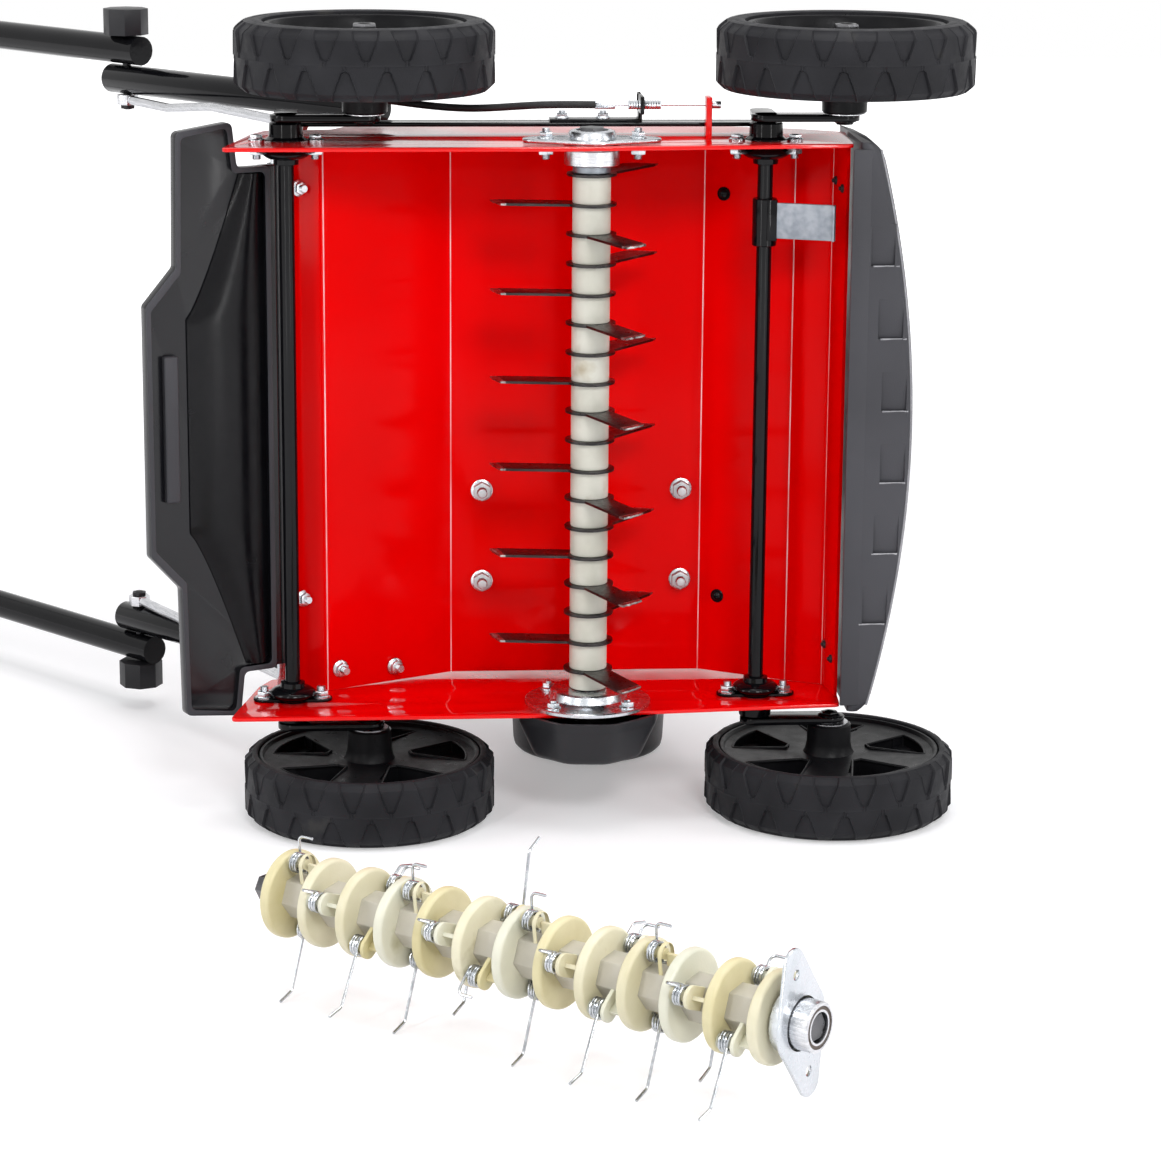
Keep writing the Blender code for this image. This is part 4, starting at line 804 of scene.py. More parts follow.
class Nut(Enum):
    """The nuts: their size across the corners, their height and how far the stud stands out."""

    SLOPE = (0.011, 0.005, 0.004)
    BUSH_INSIDE = (0.0122, 0.0058, 0.0042)
    BUSH_OUTSIDE = (0.0105, 0.0042, 0.0004)
    CORNER = (0.0115, 0.005, 0.006)
    ARM = (0.015, 0.003, 0.0003)
    WHEEL = (0.02, 0.0056, 0.0008)
    SPINDLE = (0.018, 0.0036, 0.0)
    FLANGE_OUTSIDE = (0.011, 0.005, 0.003)
    FLANGE_INSIDE = (0.0122, 0.0064, 0.004)
    HOUSING = (0.0105, 0.0048, 0.002)
    BRACKET = (0.0095, 0.004, 0.002)
    ENGINE = (0.0145, 0.0072, 0.0068)
    CRANKCASE = (0.011, 0.0048, 0.0)
    TUBE = (0.012, 0.0055, 0.003)

    def at(self, place: Floats, axis: Floats) -> list[Mesh]:
        """A flanged hexagon nut with its stud's threaded end.

        Args:
            place: The seat's centre.
            axis: The direction away from the seat.

        Returns:
            The meshes.
        """
        across, height, stud = self.value
        half, wide = across / 2, across * 0.61
        flange = Forms.turned([
            (0.0, 0.0), (wide, 0.0), (wide, 0.0008), (half, 0.0016), (0.0, 0.0016)], 0, 0, 32)
        body = Forms.rod((0, 0, 0.001), (0, 0, height), half, 6, edge=half * 0.12)
        thread = []
        pitch = 0.0009
        for k in range(int(stud / pitch) * 2 + 1):
            thread.append((half * (0.56 if k % 2 else 0.5), height + k * pitch / 2))
        bolt = Forms.turned([
            (0.0, height - 0.001), (half * 0.5, height - 0.001), *thread, (0.0, thread[-1][1])], 0, 0, 24)
        return Hardware.stand([flange, body, bolt], place, axis)


# Shared places of the machine, in metres
TRACK = 0.634
PLATE_L, INNER_L = 0.0926, 0.0956
INNER_R, PLATE_R = 0.5384, 0.5414
MID_Z = TRACK / 2
SEAT = 0.0003
ROD_Y = 0.1
DECK_Y = 0.1787
DECK_THICK = 0.0025
DRUM_Y = 0.0849
ARM_GAP, ARM_THICK = 0.0148, 0.005
REAR_WHEEL_X, FRONT_WHEEL_X = -0.1736, 0.1967
REAR_ROD_X, FRONT_ROD_X = -0.2342, 0.1361
BLOCK_LOW, BLOCK_HIGH = 0.128, 0.33
BOLT_PLACES = [(x, z) for x in (-0.0804, 0.0816) for z in (0.17275, 0.24825)]


@dataclass
class Deck:
    """The folded red roof over the knives and its two side plates."""

    fold: float = 0.007
    corner: float = 0.005
    skirt: float = 0.0492
    bush_bolts: float = 0.0225
    # Half the width of each painted fold highlight strip, measured along the sheet.
    crease: float = 0.0005
    line: tuple[Point2, ...] = (
        (-0.235, 0.143), (-0.2063, 0.125), (-0.1055, DECK_Y), (0.0975, DECK_Y), (0.165, 0.14),
        (0.194, 0.127), (0.1985, 0.09))

    def sheet(self) -> Outline:
        """The section of the folded sheet, its folds rounded."""
        points = Lines.bent(self.line, self.fold, 8)
        upper = []
        for i, here in enumerate(points):
            along = points[min(i + 1, len(points) - 1)] - points[max(i - 1, 0)]
            normal = Vector((-along.y, along.x)).normalized()
            upper.append(tuple(here + normal * DECK_THICK))
        return [tuple(p) for p in points] + upper[::-1]

    def side(self, left: bool) -> Outline:
        """The outline of a side plate; the left one rises round the crankshaft."""
        line = [(-0.2826, self.skirt), (-0.02, self.skirt), (0.2005, 0.07), (0.205, 0.15), (0.17, 0.172)]
        if left:
            line += [(0.105, 0.192), (0.1, 0.3), (0.072, 0.36), (-0.04, 0.36), (-0.07, 0.3), (-0.07, 0.192)]
        else:
            line += [(0.105, 0.192)]
        line += [
            (-0.13, 0.192), (-0.14, 0.212), (-0.176, 0.212), (-0.2, 0.17), (-0.252, 0.162), (-0.262, 0.14)]
        return Lines.rounded(line, self.corner)

    def roof(self) -> Piece:
        """The folded sheet with its bolt holes and the painted highlight strips along its folds."""
        sheet = Forms.plate([self.sheet()], INNER_L + SEAT, INNER_R - SEAT)
        holes = [Forms.rod((x, DECK_Y - 0.01, z), (x, DECK_Y + 0.02, z), 0.005, 24) for x, z in BOLT_PLACES]
        piece = Piece("deck_sheet", Finishes.RED).add(Forms.carved(sheet, holes))
        return piece.take(self.painted_fold_highlights(), Finishes.FOLD)

    def painted_fold_highlights(self) -> Iterable[Mesh]:
        """The painted highlight along each fold: thin strips of pinkish-white enamel where the fold's
        rounding catches light.
        """
        points = Lines.bent(self.line, self.fold, 8)
        for corner in self.line[1:-1]:
            k = min(range(len(points)), key=lambda i: (points[i] - Vector(corner)).length)
            along = (points[k + 1] - points[k - 1]).normalized()
            out = Vector((along.y, -along.x))
            strip = [
                points[k] - along * self.crease, points[k] + out * 0.00014, points[k] + along * self.crease,
                points[k] - out * 0.0005]
            yield Forms.plate([[tuple(p) for p in strip]], INNER_L + SEAT, INNER_R - SEAT)

    def plate(self, left: bool) -> Piece:
        """A side plate with its bores and a peg or post on its outer face."""
        low, high = (PLATE_L, INNER_L) if left else (INNER_R, PLATE_R)
        bore = 0.0305 if left else 0.023
        holes = [
            Lines.circle(REAR_ROD_X, ROD_Y, 0.0121), Lines.circle(FRONT_ROD_X, ROD_Y, 0.0121),
            Lines.circle(0.0, DRUM_Y, bore)]
        if left:
            holes.append(Lines.circle(CRANK_X, CRANK_Y, 0.03))
        piece = Piece("side_panel_left" if left else "side_panel_right", Finishes.PANEL)
        piece.add(Forms.plate([self.side(left), *holes], low, high, 0.0006))
        if not left:
            post = Forms.block((0.09, 0.1045, PLATE_R - 0.001), (0.0945, 0.1205, PLATE_R + 0.032), 0.0008)
            piece.add(post)
        else:
            piece.add(Forms.rod((-0.002, 0.176, 0.0852), (-0.002, 0.176, PLATE_L + 0.001), 0.0035, 24))
        return piece

    def seams(self) -> Piece:
        """The fasteners that join the roof to the side plates."""
        piece = Piece("deck_fasteners", Finishes.ZINC)
        for x, y, z in ((-0.225, 0.1362, 0.5), (-0.225, 0.1362, 0.17)):
            piece.take(Nut.SLOPE.at((x, y, z), (0.53, -0.85, 0.0)))
        for rod in (REAR_ROD_X, FRONT_ROD_X):
            for x in (rod - self.bush_bolts, rod + self.bush_bolts):
                for inner, outer, axis in ((INNER_R, PLATE_R, 1.0), (INNER_L, PLATE_L, -1.0)):
                    piece.take(Nut.BUSH_INSIDE.at((x, ROD_Y, inner - axis * 0.0022), (0, 0, -axis)))
                    piece.take(Nut.BUSH_OUTSIDE.at((x, ROD_Y, outer), (0, 0, axis)))
        for x, y, z in ((-0.196, 0.1296, 0.113), (-0.152, 0.153, 0.108)):
            piece.take(Nut.CORNER.at((x, y, z), (0.47, -0.88, 0.0)))
        for z in (0.49, 0.16):
            piece.take(Hardware.screw((0.112, 0.1702, z), (-0.5, -0.85, 0.0), 0.0038), Finishes.BLACK)
        for x, y, z in ((0.1947, 0.1214, 0.507), (0.1972, 0.101, 0.5032), (0.1947, 0.1214, 0.131),
                        (0.1972, 0.101, 0.1243)):
            piece.take(Hardware.push_clip((x, y, z), (-1.0, -0.12, 0.0), 0.0034), Finishes.PLASTIC)
        return piece

    def build(self) -> None:
        """Build the deck's pieces."""
        self.roof().place("deck_roof")
        self.plate(True).place("side_plate_left")
        self.plate(False).place("side_plate_right")
        self.seams().place()


@dataclass
class Bumper:
    """The moulded front bumper between the side plates, with louvres in its lower wall."""

    back: float = 0.2056
    front: float = 0.252
    bow: float = 0.03
    low: float = 0.062
    height: float = 0.123
    wall: float = 0.0035
    half: float = 0.2264
    louvres: int = 6
    pitch: float = 0.0571
    shift: float = 0.004
    louvre: float = 0.0315
    lip: float = 0.221

    def face(self, z: float) -> float:
        """How far forward the bumper reaches at a place across the machine."""
        across = (z - MID_Z) / 0.2244
        return self.front - self.bow * across * across

    def section(self, z: float, wall: float) -> Outline:
        """The section at z, drawn in by the wall and rounded off at the bumper's ends."""
        near_end = max(0.0, abs(z - MID_Z) - (self.half - 0.016)) / 0.016
        drawn = 0.007 * near_end ** 3
        front = self.face(z) - drawn - wall
        low, high = self.low + wall + drawn * 0.3, self.low + self.height - wall - drawn * 0.3
        back = self.back + wall
        line = [
            (back, low), (front, low), (front + 0.0006, low + 0.045), (front - 0.003, high - 0.03),
            (front - 0.01, high), (back, high)]
        return Lines.rounded(line, 0.009, 5)

    def solid(self, wall: float) -> Mesh:
        """The bumper's outer form, or its hollow where wall is its thickness."""
        half, steps = self.half - wall, 44
        places = [MID_Z + half * sin(pi / 2 * (2 * i / steps - 1)) for i in range(steps + 1)]
        return Forms.loft([(self.section(z, wall), z) for z in places])

    def middles(self) -> list[float]:
        """The louvres' places across the machine."""
        return [MID_Z + (k - (self.louvres - 1) / 2) * self.pitch + self.shift for k in range(self.louvres)]

    def openings(self) -> Iterable[tuple[Mesh, Mesh]]:
        """Each louvre's opening and the slanted pad in it, flush at one end and set back at the other."""
        half = self.louvre / 2
        for z in self.middles():
            front = self.face(z)
            opening = Forms.block(
                (front - 0.0255, self.low - 0.01, z - half), (front - 0.0058, self.low + 0.012, z + half),
                0.0012)
            pad = Forms.block((-0.0105, -0.0006, -half - 0.0015), (0.0105, 0.001, half + 0.0015), 0.0004)
            lean = (
                Matrix.Translation((front - 0.0157, self.low + 0.0022, z))
                @ Matrix.Rotation(radians(5.2), 4, "X"))
            yield opening, Forms.moved(pad, lean)

    def build(self) -> None:
        """Build the bumper's piece, with painted highlight strips along its front edge and at its louvres."""
        openings, pads = zip(*self.openings())
        shell = Forms.carved(self.solid(0.0), [self.solid(self.wall), *openings])
        piece = Piece("bumper_shell", Finishes.BUMPER).add(shell).take(pads)
        piece.add(
            Forms.block((0.1995, self.low + 0.0001, MID_Z - self.lip),
                (0.215, self.low + self.wall, MID_Z + self.lip), 0.0006))
        # A light grey tube along the front's lower corner: a painted highlight on the rounded edge.
        steps = 40
        places = [MID_Z + self.lip * (2 * i / steps - 1) for i in range(steps + 1)]
        edge = [(self.face(z) - 0.0022, self.low + 0.0022, z) for z in places]
        piece.add(Forms.tube(edge, 0.0009, 3), Finishes.RIDGE)
        # A light grey rod at each louvre's lower end: a painted highlight on the step.
        for middle in self.middles():
            z = middle - self.louvre / 2
            front = self.face(z)
            ridge = Forms.rod(
                (front - 0.025, self.low + 0.0006, z), (front - 0.0045, self.low + 0.001, z), 0.0008, 12)
            piece.add(ridge, Finishes.RIDGE)
        piece.place("front_bumper", crease=50.0)


@dataclass
class Flap:
    """The black rear flap on its hinge rod, a shallow moulded tray with a rim."""

    hinge_x: float = -0.2435
    hinge_y: float = 0.143
    length: float = 0.1145
    rim: float = 0.01
    wall: float = 0.003
    drop: float = 26.0

    def outline(self, inset: float) -> Outline:
        """The flap's plan, drawn in by an inset."""
        half = [
            (0.008 + inset, 0.2015 - inset), (0.036 + inset, 0.2015 - inset), (0.04 + inset, 0.237 - inset),
            (0.087 - inset, 0.231 - inset), (0.089 - inset, 0.127 - inset),
            (self.length - inset, 0.099 - inset)]
        return Lines.rounded([(-s, w) for s, w in half] + [(-s, -w) for s, w in half[::-1]], 0.005)

    def hood(self) -> Mesh:
        """The smooth bulge along the hinge, widest in the middle and slanted off at its ends."""
        bm = bmesh.new()
        across, along = 60, 14
        rows = []
        for i in range(across + 1):
            z = 0.196 * (2 * i / across - 1)
            reach = 0.078 - 0.046 * max(0.0, (abs(z) - 0.085) / 0.111) ** 0.8
            row = []
            for k in range(along + 1):
                share = k / along
                bulge = 0.0072 * sin(pi * min(1.0, share * 0.92 + 0.04)) ** 0.7
                row.append(bm.verts.new((-0.012 - (reach - 0.012) * share, -0.001 - bulge, z)))
            rows.append(row)
        Forms.skin(bm, rows, False)
        bmesh.ops.solidify(bm, geom=bm.faces[:], thickness=0.0008)
        return Forms.settle(bm)

    def build(self) -> None:
        """Build the flap and its rod."""
        lay = Matrix.Rotation(radians(90), 4, "X")
        tilt = (
            Matrix.Translation((self.hinge_x, self.hinge_y - 0.006, MID_Z))
            @ Matrix.Rotation(radians(self.drop), 4, "Z"))
        tray = Forms.plate([self.outline(0.0)], -self.wall / 2, self.rim - self.wall / 2, 0.0008)
        pocket = Forms.plate([self.outline(0.0035)], self.wall / 2, self.rim + 0.01, 0.0002)
        piece = Piece("flap_tray", Finishes.FLAP, "flap")
        piece.add(Forms.moved(Forms.carved(tray, [pocket]), tilt @ lay))
        half = MID_Z - INNER_L - 0.02
        piece.add(Forms.moved(Forms.block((-0.014, -0.0014, -half), (0.0, 0.0052, half), 0.0012), tilt))
        rib = Forms.block((-0.099, -0.0062, -0.058), (-0.087, 0.0, 0.058), 0.0016)
        piece.add(Forms.moved(rib, tilt), Finishes.BUMPER)
        piece.add(Forms.moved(self.hood(), tilt))
        top = self.rim - self.wall / 2
        edge = Forms.plate([self.outline(0.0001), self.outline(0.0042)], top - 0.0006, top + 0.0003, 0.0002)
        piece.add(Forms.moved(edge, tilt @ lay), Finishes.BUMPER)
        eye = [(0.0041, MID_Z - half), (0.0062, MID_Z - half), (0.0062, MID_Z + half), (0.0041, MID_Z + half)]
        barrel = Forms.turned(eye, self.hinge_x, self.hinge_y, 32)
        piece.add(barrel)
        piece.place("rear_flap")
        rod = Forms.rod(
            (self.hinge_x, self.hinge_y, INNER_L + SEAT), (self.hinge_x, self.hinge_y, INNER_R - SEAT),
            0.0035, 24, edge=0.0008)
        Piece("hinge_rod", Finishes.ZINC).add(rod).place("flap_hinge_rod")


@dataclass
class RoadWheel:
    """A black plastic wheel with five drop-shaped openings and a rubber tyre with tapered pockets."""

    end: End
    side: Side
    radius: float = 0.1
    width: float = 0.054
    pockets: int = 20
    spokes: int = 5
    first_angle: float = 0.17
    pocket_length: float = 0.022
    pocket_half: float = 0.01
    pocket_depth: float = 0.0016
    lip: float = 0.0006
    sliver: float = 0.0003

    @property
    def corner(self) -> str:
        """The corner of the machine that the wheel is at, as names have it."""
        return f"{self.end.value}_{self.side.value}"

    @property
    def x(self) -> float:
        """The wheel's place along the machine."""
        return self.end.wheel_x

    def depth(self, distance: float) -> float:
        """The height of a point that lies this far inwards from the wheel's outer face."""
        return distance if self.side is Side.LEFT else TRACK - distance

    def disc(self) -> Mesh:
        """The wheel's turned body, with a thin dished web between its hub and its rim."""
        hub_end = PLATE_L - ARM_GAP - ARM_THICK - 0.0008
        section = [
            (0.0073, 0.0105), (0.015, 0.0105), (0.0165, 0.0115), (0.0175, 0.0135), (0.02, 0.015),
            (0.056, 0.0205), (0.064, 0.0215), (0.0685, 0.0195), (0.0705, 0.012), (0.0715, 0.0055),
            (0.073, 0.0035), (0.076, 0.003), (0.0779, 0.004), (0.0779, 0.044), (0.0883, 0.0446),
            (0.0883, 0.0514), (0.0874, 0.0522), (0.0856, 0.0522), (0.0846, 0.0514), (0.0838, 0.0496),
            (0.08, 0.0488), (0.056, 0.048), (0.024, 0.0468), (0.0205, 0.0474), (0.019, 0.05), (0.0178, 0.056),
            (0.0174, hub_end - 0.0014), (0.016, hub_end), (0.0073, hub_end)]
        return Forms.turned([(r, self.depth(d)) for r, d in section], self.x, ROD_Y, 96)

    def opening(self, angle: float, grow: float = 0.0) -> Outline:
        """A drop-shaped opening, its point towards the hub."""
        turn = degrees(angle)
        outer = Lines.arc(self.x, ROD_Y, 0.0655 + grow, turn - 22, turn + 20, 14)
        inner = Lines.arc(self.x, ROD_Y, 0.0335 - grow, turn + 13, turn - 3, 4)
        return Lines.rounded(outer + inner, 0.005)

    def recess(self, angle: float) -> Outline:
        """The outline of the blind recess that goes on from an opening to the rim, on the machine's side."""
        turn = degrees(angle)
        outer = Lines.arc(self.x, ROD_Y, 0.0775, turn - 22, turn + 20, 14)
        inner = Lines.arc(self.x, ROD_Y, 0.0345, turn + 12, turn - 2, 4)
        return Lines.rounded(outer + inner, 0.007)

    def wheel(self) -> Piece:
        """The wheel with its openings, their raised rims and the hub's ribs."""
        piece = Piece(f"wheel_{self.corner}_disc", Finishes.WHEEL, f"{self.corner}_wheel")
        angles = [tau * k / self.spokes + self.first_angle for k in range(self.spokes)]
        low, high = sorted((self.depth(0.013), self.depth(0.052)))
        cutters = [Forms.plate([self.opening(a)], low, high, 0.0001) for a in angles]
        floor, top = sorted((self.depth(0.04), self.depth(0.053)))
        cutters += [Forms.plate([self.recess(a)], floor, top, 0.0001) for a in angles]
        piece.add(Forms.carved(self.disc(), cutters))
        hub = Vector((self.x, ROD_Y))
        for angle in angles:
            line = self.opening(angle, 0.0008)
            lip = [(x, y, self.depth(self.face_depth((Vector((x, y)) - hub).length))) for x, y in line]
            piece.add(Forms.tube(lip, 0.0013, 3, closed=True))
            back = [(x, y, self.depth(0.0481)) for x, y in self.recess(angle)]
            piece.add(Forms.tube(back, 0.0011, 3, closed=True))
            rib_angle = angle + pi / self.spokes
            inner, outer = 0.019, 0.066
            outward = Vector((cos(rib_angle), sin(rib_angle)))
            spine = [hub + outward * (inner + (outer - inner) * i / 8) for i in range(9)]
            ridge = [(p.x, p.y, self.depth(self.face_depth((p - hub).length) + 0.0006)) for p in spine]
            piece.add(Forms.tube(ridge, 0.002, 4))
        ring = [(0.029, 0.0), (0.03, -0.0012), (0.0312, 0.0)]
        band = [(r, self.depth(self.face_depth(r) + d)) for r, d in ring]
        band += [(r, self.depth(self.face_depth(r) + 0.0015)) for r in (0.0312, 0.029)]
        piece.add(Forms.turned(band, self.x, ROD_Y, 72))
        return piece

    def face_depth(self, radius: float) -> float:
        """The depth of the web's outer surface at a radius."""
        return 0.015 + (min(max(radius, 0.02), 0.056) - 0.02) / 0.036 * 0.0055

    def tread_radius(self, distance: float) -> float:
        """The tread's radius at a distance from the outer face, its shoulders rounded off."""
        outer = max(0.0, 0.008 - distance) / 0.008
        inner = max(0.0, distance - (self.width - 0.0062)) / 0.0062
        return self.radius - 0.0007 - 0.0094 * outer ** 1.25 - 0.0066 * inner ** 1.25

    def pocket(self, reach: float) -> float:
        """Half the width of a tapered pocket, this far from the shoulder towards the middle."""
        end, nose = self.pocket_length, 0.0032
        if reach >= end:
            return self.sliver
        if reach > end - nose:
            return max(self.sliver, nose * sqrt(1 - ((reach - end + nose) / nose) ** 2))
        return nose + (self.pocket_half - nose) * (1 - (reach / (end - nose)) ** 1.25)

    def half_tread(self, flip: bool) -> Mesh:
        """One half of the tread's skin with its row of tapered pockets.

        Args:
            flip: Whether it is the half on the machine's side.

        Returns:
            The half's open skin.
        """
        middle = self.width / 2
        reaches = [
            0.0, 0.0016, 0.0034, 0.0052, 0.007, 0.0088, 0.011, 0.0135, 0.016, 0.0175, 0.0188, 0.0198, 0.0206,
            0.0212, 0.0216, 0.0222, 0.0234, 0.025, middle - 0.0012]
        half_pitch = pi * self.radius / self.pockets
        bm = bmesh.new()
        rows = []
        for reach in reaches:
            if flip:
                distance = self.width - 0.0006 - reach * (middle - 0.0006) / (middle - 0.0012)
            else:
                distance = 0.0012 + reach * (middle - 0.0012) / (middle - 0.0012)
            wide = self.pocket(reach)
            cut = self.pocket_depth * min(1.0, reach / 0.0012) if reach < self.pocket_length else 0.0
            side = [
                (0.0, -cut), (wide * 0.6, -cut), (wide, -cut), (wide + 0.0004, 0.0),
                (wide + 0.0009, self.lip), (wide + 0.0015, 0.0)]
            side += [(wide + 0.0015 + (half_pitch - wide - 0.0015) * s, 0.0) for s in (0.33, 0.66)]
            profile = [(-x, h) for x, h in side[:0:-1]] + side + [(half_pitch, 0.0)]
            row = []
            for k in range(self.pockets):
                centre = tau * (k + (0.5 if flip else 0.0)) / self.pockets
                for x, height in profile:
                    radius = self.tread_radius(distance) + height
                    turn = centre + x / self.radius
                    place = (self.x + radius * cos(turn), ROD_Y + radius * sin(turn), self.depth(distance))
                    row.append(bm.verts.new(place))
            rows.append(row)
        Forms.skin(bm, rows, True)
        mesh = bpy.data.meshes.new("tread")
        outward = (self.side is Side.LEFT) == flip
        if outward:
            bmesh.ops.reverse_faces(bm, faces=bm.faces[:])
        bm.to_mesh(mesh)
        bm.free()
        return mesh

    def tyre(self) -> Piece:
        """The tyre: two staggered rows of tapered pockets, a mould line and stepped side walls."""
        bead, top = 0.0782, self.radius - 0.0014
        section = [
            (bead, 0.0012), (0.08, 0.0004), (0.084, 0.0004), (0.0858, 0.001), (0.0872, 0.0004),
            (0.0896, 0.0006), (self.tread_radius(0.0012) + 0.0001, 0.0012), (top - 0.006, 0.006),
            (top - 0.002, 0.0095), (top - 0.002, 0.044), (top - 0.004, 0.049),
            (self.tread_radius(self.width - 0.0006) + 0.0001, self.width - 0.0006), (0.0912, 0.0538),
            (0.09, 0.0536), (0.089, 0.0526), (0.089, 0.043), (bead, 0.0424)]
        piece = Piece(f"tyre_{self.corner}_tread", Finishes.TYRE, f"{self.corner}_wheel")
        piece.add(Forms.turned([(r, self.depth(d)) for r, d in section], self.x, ROD_Y, 128))
        piece.add(self.half_tread(False)).add(self.half_tread(True))
        middle, line = self.width / 2, self.radius - 0.0007
        seam = [
            (line + proud, self.depth(middle + across))
            for proud, across in ((-0.001, -0.0016), (0.0, -0.0014), (0.0001, -0.0003), (0.0002, 0.0),
                (0.0001, 0.0003), (0.0, 0.0014), (-0.001, 0.0016))]
        piece.add(Forms.turned(seam, self.x, ROD_Y, 256))
        return piece

    def build(self) -> None:
        """Build the wheel and its tyre."""
        self.wheel().place(f"wheel_{self.corner}")
        self.tyre().place(f"tyre_{self.corner}")


@dataclass
class Axle:
    """A black rod with crank arms to the wheels' stubs, its bushes and the link's lever."""

    end: End
    rod: float = 0.006
    arm: float = 0.012
    lever: float = 0.034

    @property
    def x(self) -> float:
        """The rod's place along the machine."""
        return self.end.rod_x

    def shaft(self) -> Piece:
        """The rod, its arms, stubs, nuts and welds."""
        piece = Piece(f"{self.end.value}_axle_assembly", Finishes.BLACK, f"{self.end.value}_carriage")
        low, high = PLATE_L - ARM_GAP - ARM_THICK, PLATE_R + ARM_GAP
        piece.add(Forms.rod((self.x, ROD_Y, low + 0.001), (self.x, ROD_Y, high + 0.004), self.rod, 40))
        outline = Lines.slot((self.x, ROD_Y), (self.end.wheel_x, ROD_Y), self.arm)
        for start in (low, high):
            piece.add(Forms.plate([outline], start, start + ARM_THICK, 0.0006))
        lever = Lines.slot((self.x, ROD_Y), (self.x, ROD_Y + self.lever), self.arm - 0.003)
        piece.add(Forms.plate([lever], high, high + ARM_THICK, 0.0006))
        pin_y = ROD_Y + self.lever
        pin = (self.x, pin_y, PLATE_R + 0.0066), (self.x, pin_y, high + 0.001)
        piece.add(Forms.rod(*pin, 0.004, 28, edge=0.0004))
        for face, out in ((low + ARM_THICK, 1.0), (high, -1.0)):
            weld = [
                (self.rod + wide, face + out * high)
                for wide, high in ((-0.0005, -0.0004), (0.0022, -0.0004), (0.0012, 0.0008),
                    (-0.0005, 0.0014))]
            piece.add(Forms.turned(weld, self.x, ROD_Y, 40))
            piece.take(Nut.ARM.at((self.end.wheel_x, ROD_Y, face), (0, 0, out)))
        for face, out in ((low, -1.0), (high + ARM_THICK, 1.0)):
            washer = [
                (r, face + out * d) for r, d in ((0.0068, 0.0001), (0.015, 0.0001), (0.015, 0.0007),
                    (0.0068, 0.0007))]
            piece.add(Forms.turned(washer, self.end.wheel_x, ROD_Y, 48), Finishes.CHROME)
        for outer, inner, out in ((0.004, low + 0.001, -1.0), (TRACK - 0.004, high + 0.004, 1.0)):
            stub = (self.end.wheel_x, ROD_Y, inner), (self.end.wheel_x, ROD_Y, outer)
            piece.add(Forms.rod(*stub, 0.0065, 32, edge=0.0006), Finishes.ZINC)
            start = 0.0092 if out < 0 else TRACK - 0.0092
            piece.take(Nut.WHEEL.at((self.end.wheel_x, ROD_Y, start), (0, 0, out)), Finishes.STEEL)
        return piece

    def bush(self, side: Side) -> Piece:
        """The collared cup that carries the rod in a side plate."""
        out = side.outward
        face, inner = (PLATE_L, INNER_L) if side is Side.LEFT else (PLATE_R, INNER_R)
        seat, back = face + out * SEAT, inner - out * SEAT
        section = [
            (r, face + out * d) for r, d in ((0.0066, 0.0138), (0.0116, 0.0138), (0.0128, 0.0128),
                (0.0132, 0.003), (0.015, 0.0016), (0.016, 0.001))]
        section += [(0.016, seat), (0.0117, seat), (0.0117, back), (0.0145, back - out * 0.002)]
        section += [
            (0.014 + 0.0046 * sin(pi * k / 8), back - out * (0.0024 + 0.008 * k / 8)) for k in range(9)]
        section += [(0.01, back - out * 0.0112), (0.0096, back - out * 0.015), (0.0066, back - out * 0.0158)]
        piece = Piece(f"bush_{self.end.value}_{side.value}", Finishes.BLACK)
        ear = Lines.slot((self.x - 0.0225, ROD_Y), (self.x + 0.0225, ROD_Y), 0.0088)
        low, high = sorted((back, back - out * 0.0022))
        piece.add(Forms.plate([ear, Lines.circle(self.x, ROD_Y, 0.011)], low, high, 0.0004))
        return piece.add(Forms.turned(section, self.x, ROD_Y, 48))

    def build(self) -> None:
        """Build the axle and its bushes."""
        self.shaft().place(f"{self.end.value}_axle")
        for side in Side:
            self.bush(side).place(f"axle_bush_{self.end.value}_{side.value}")


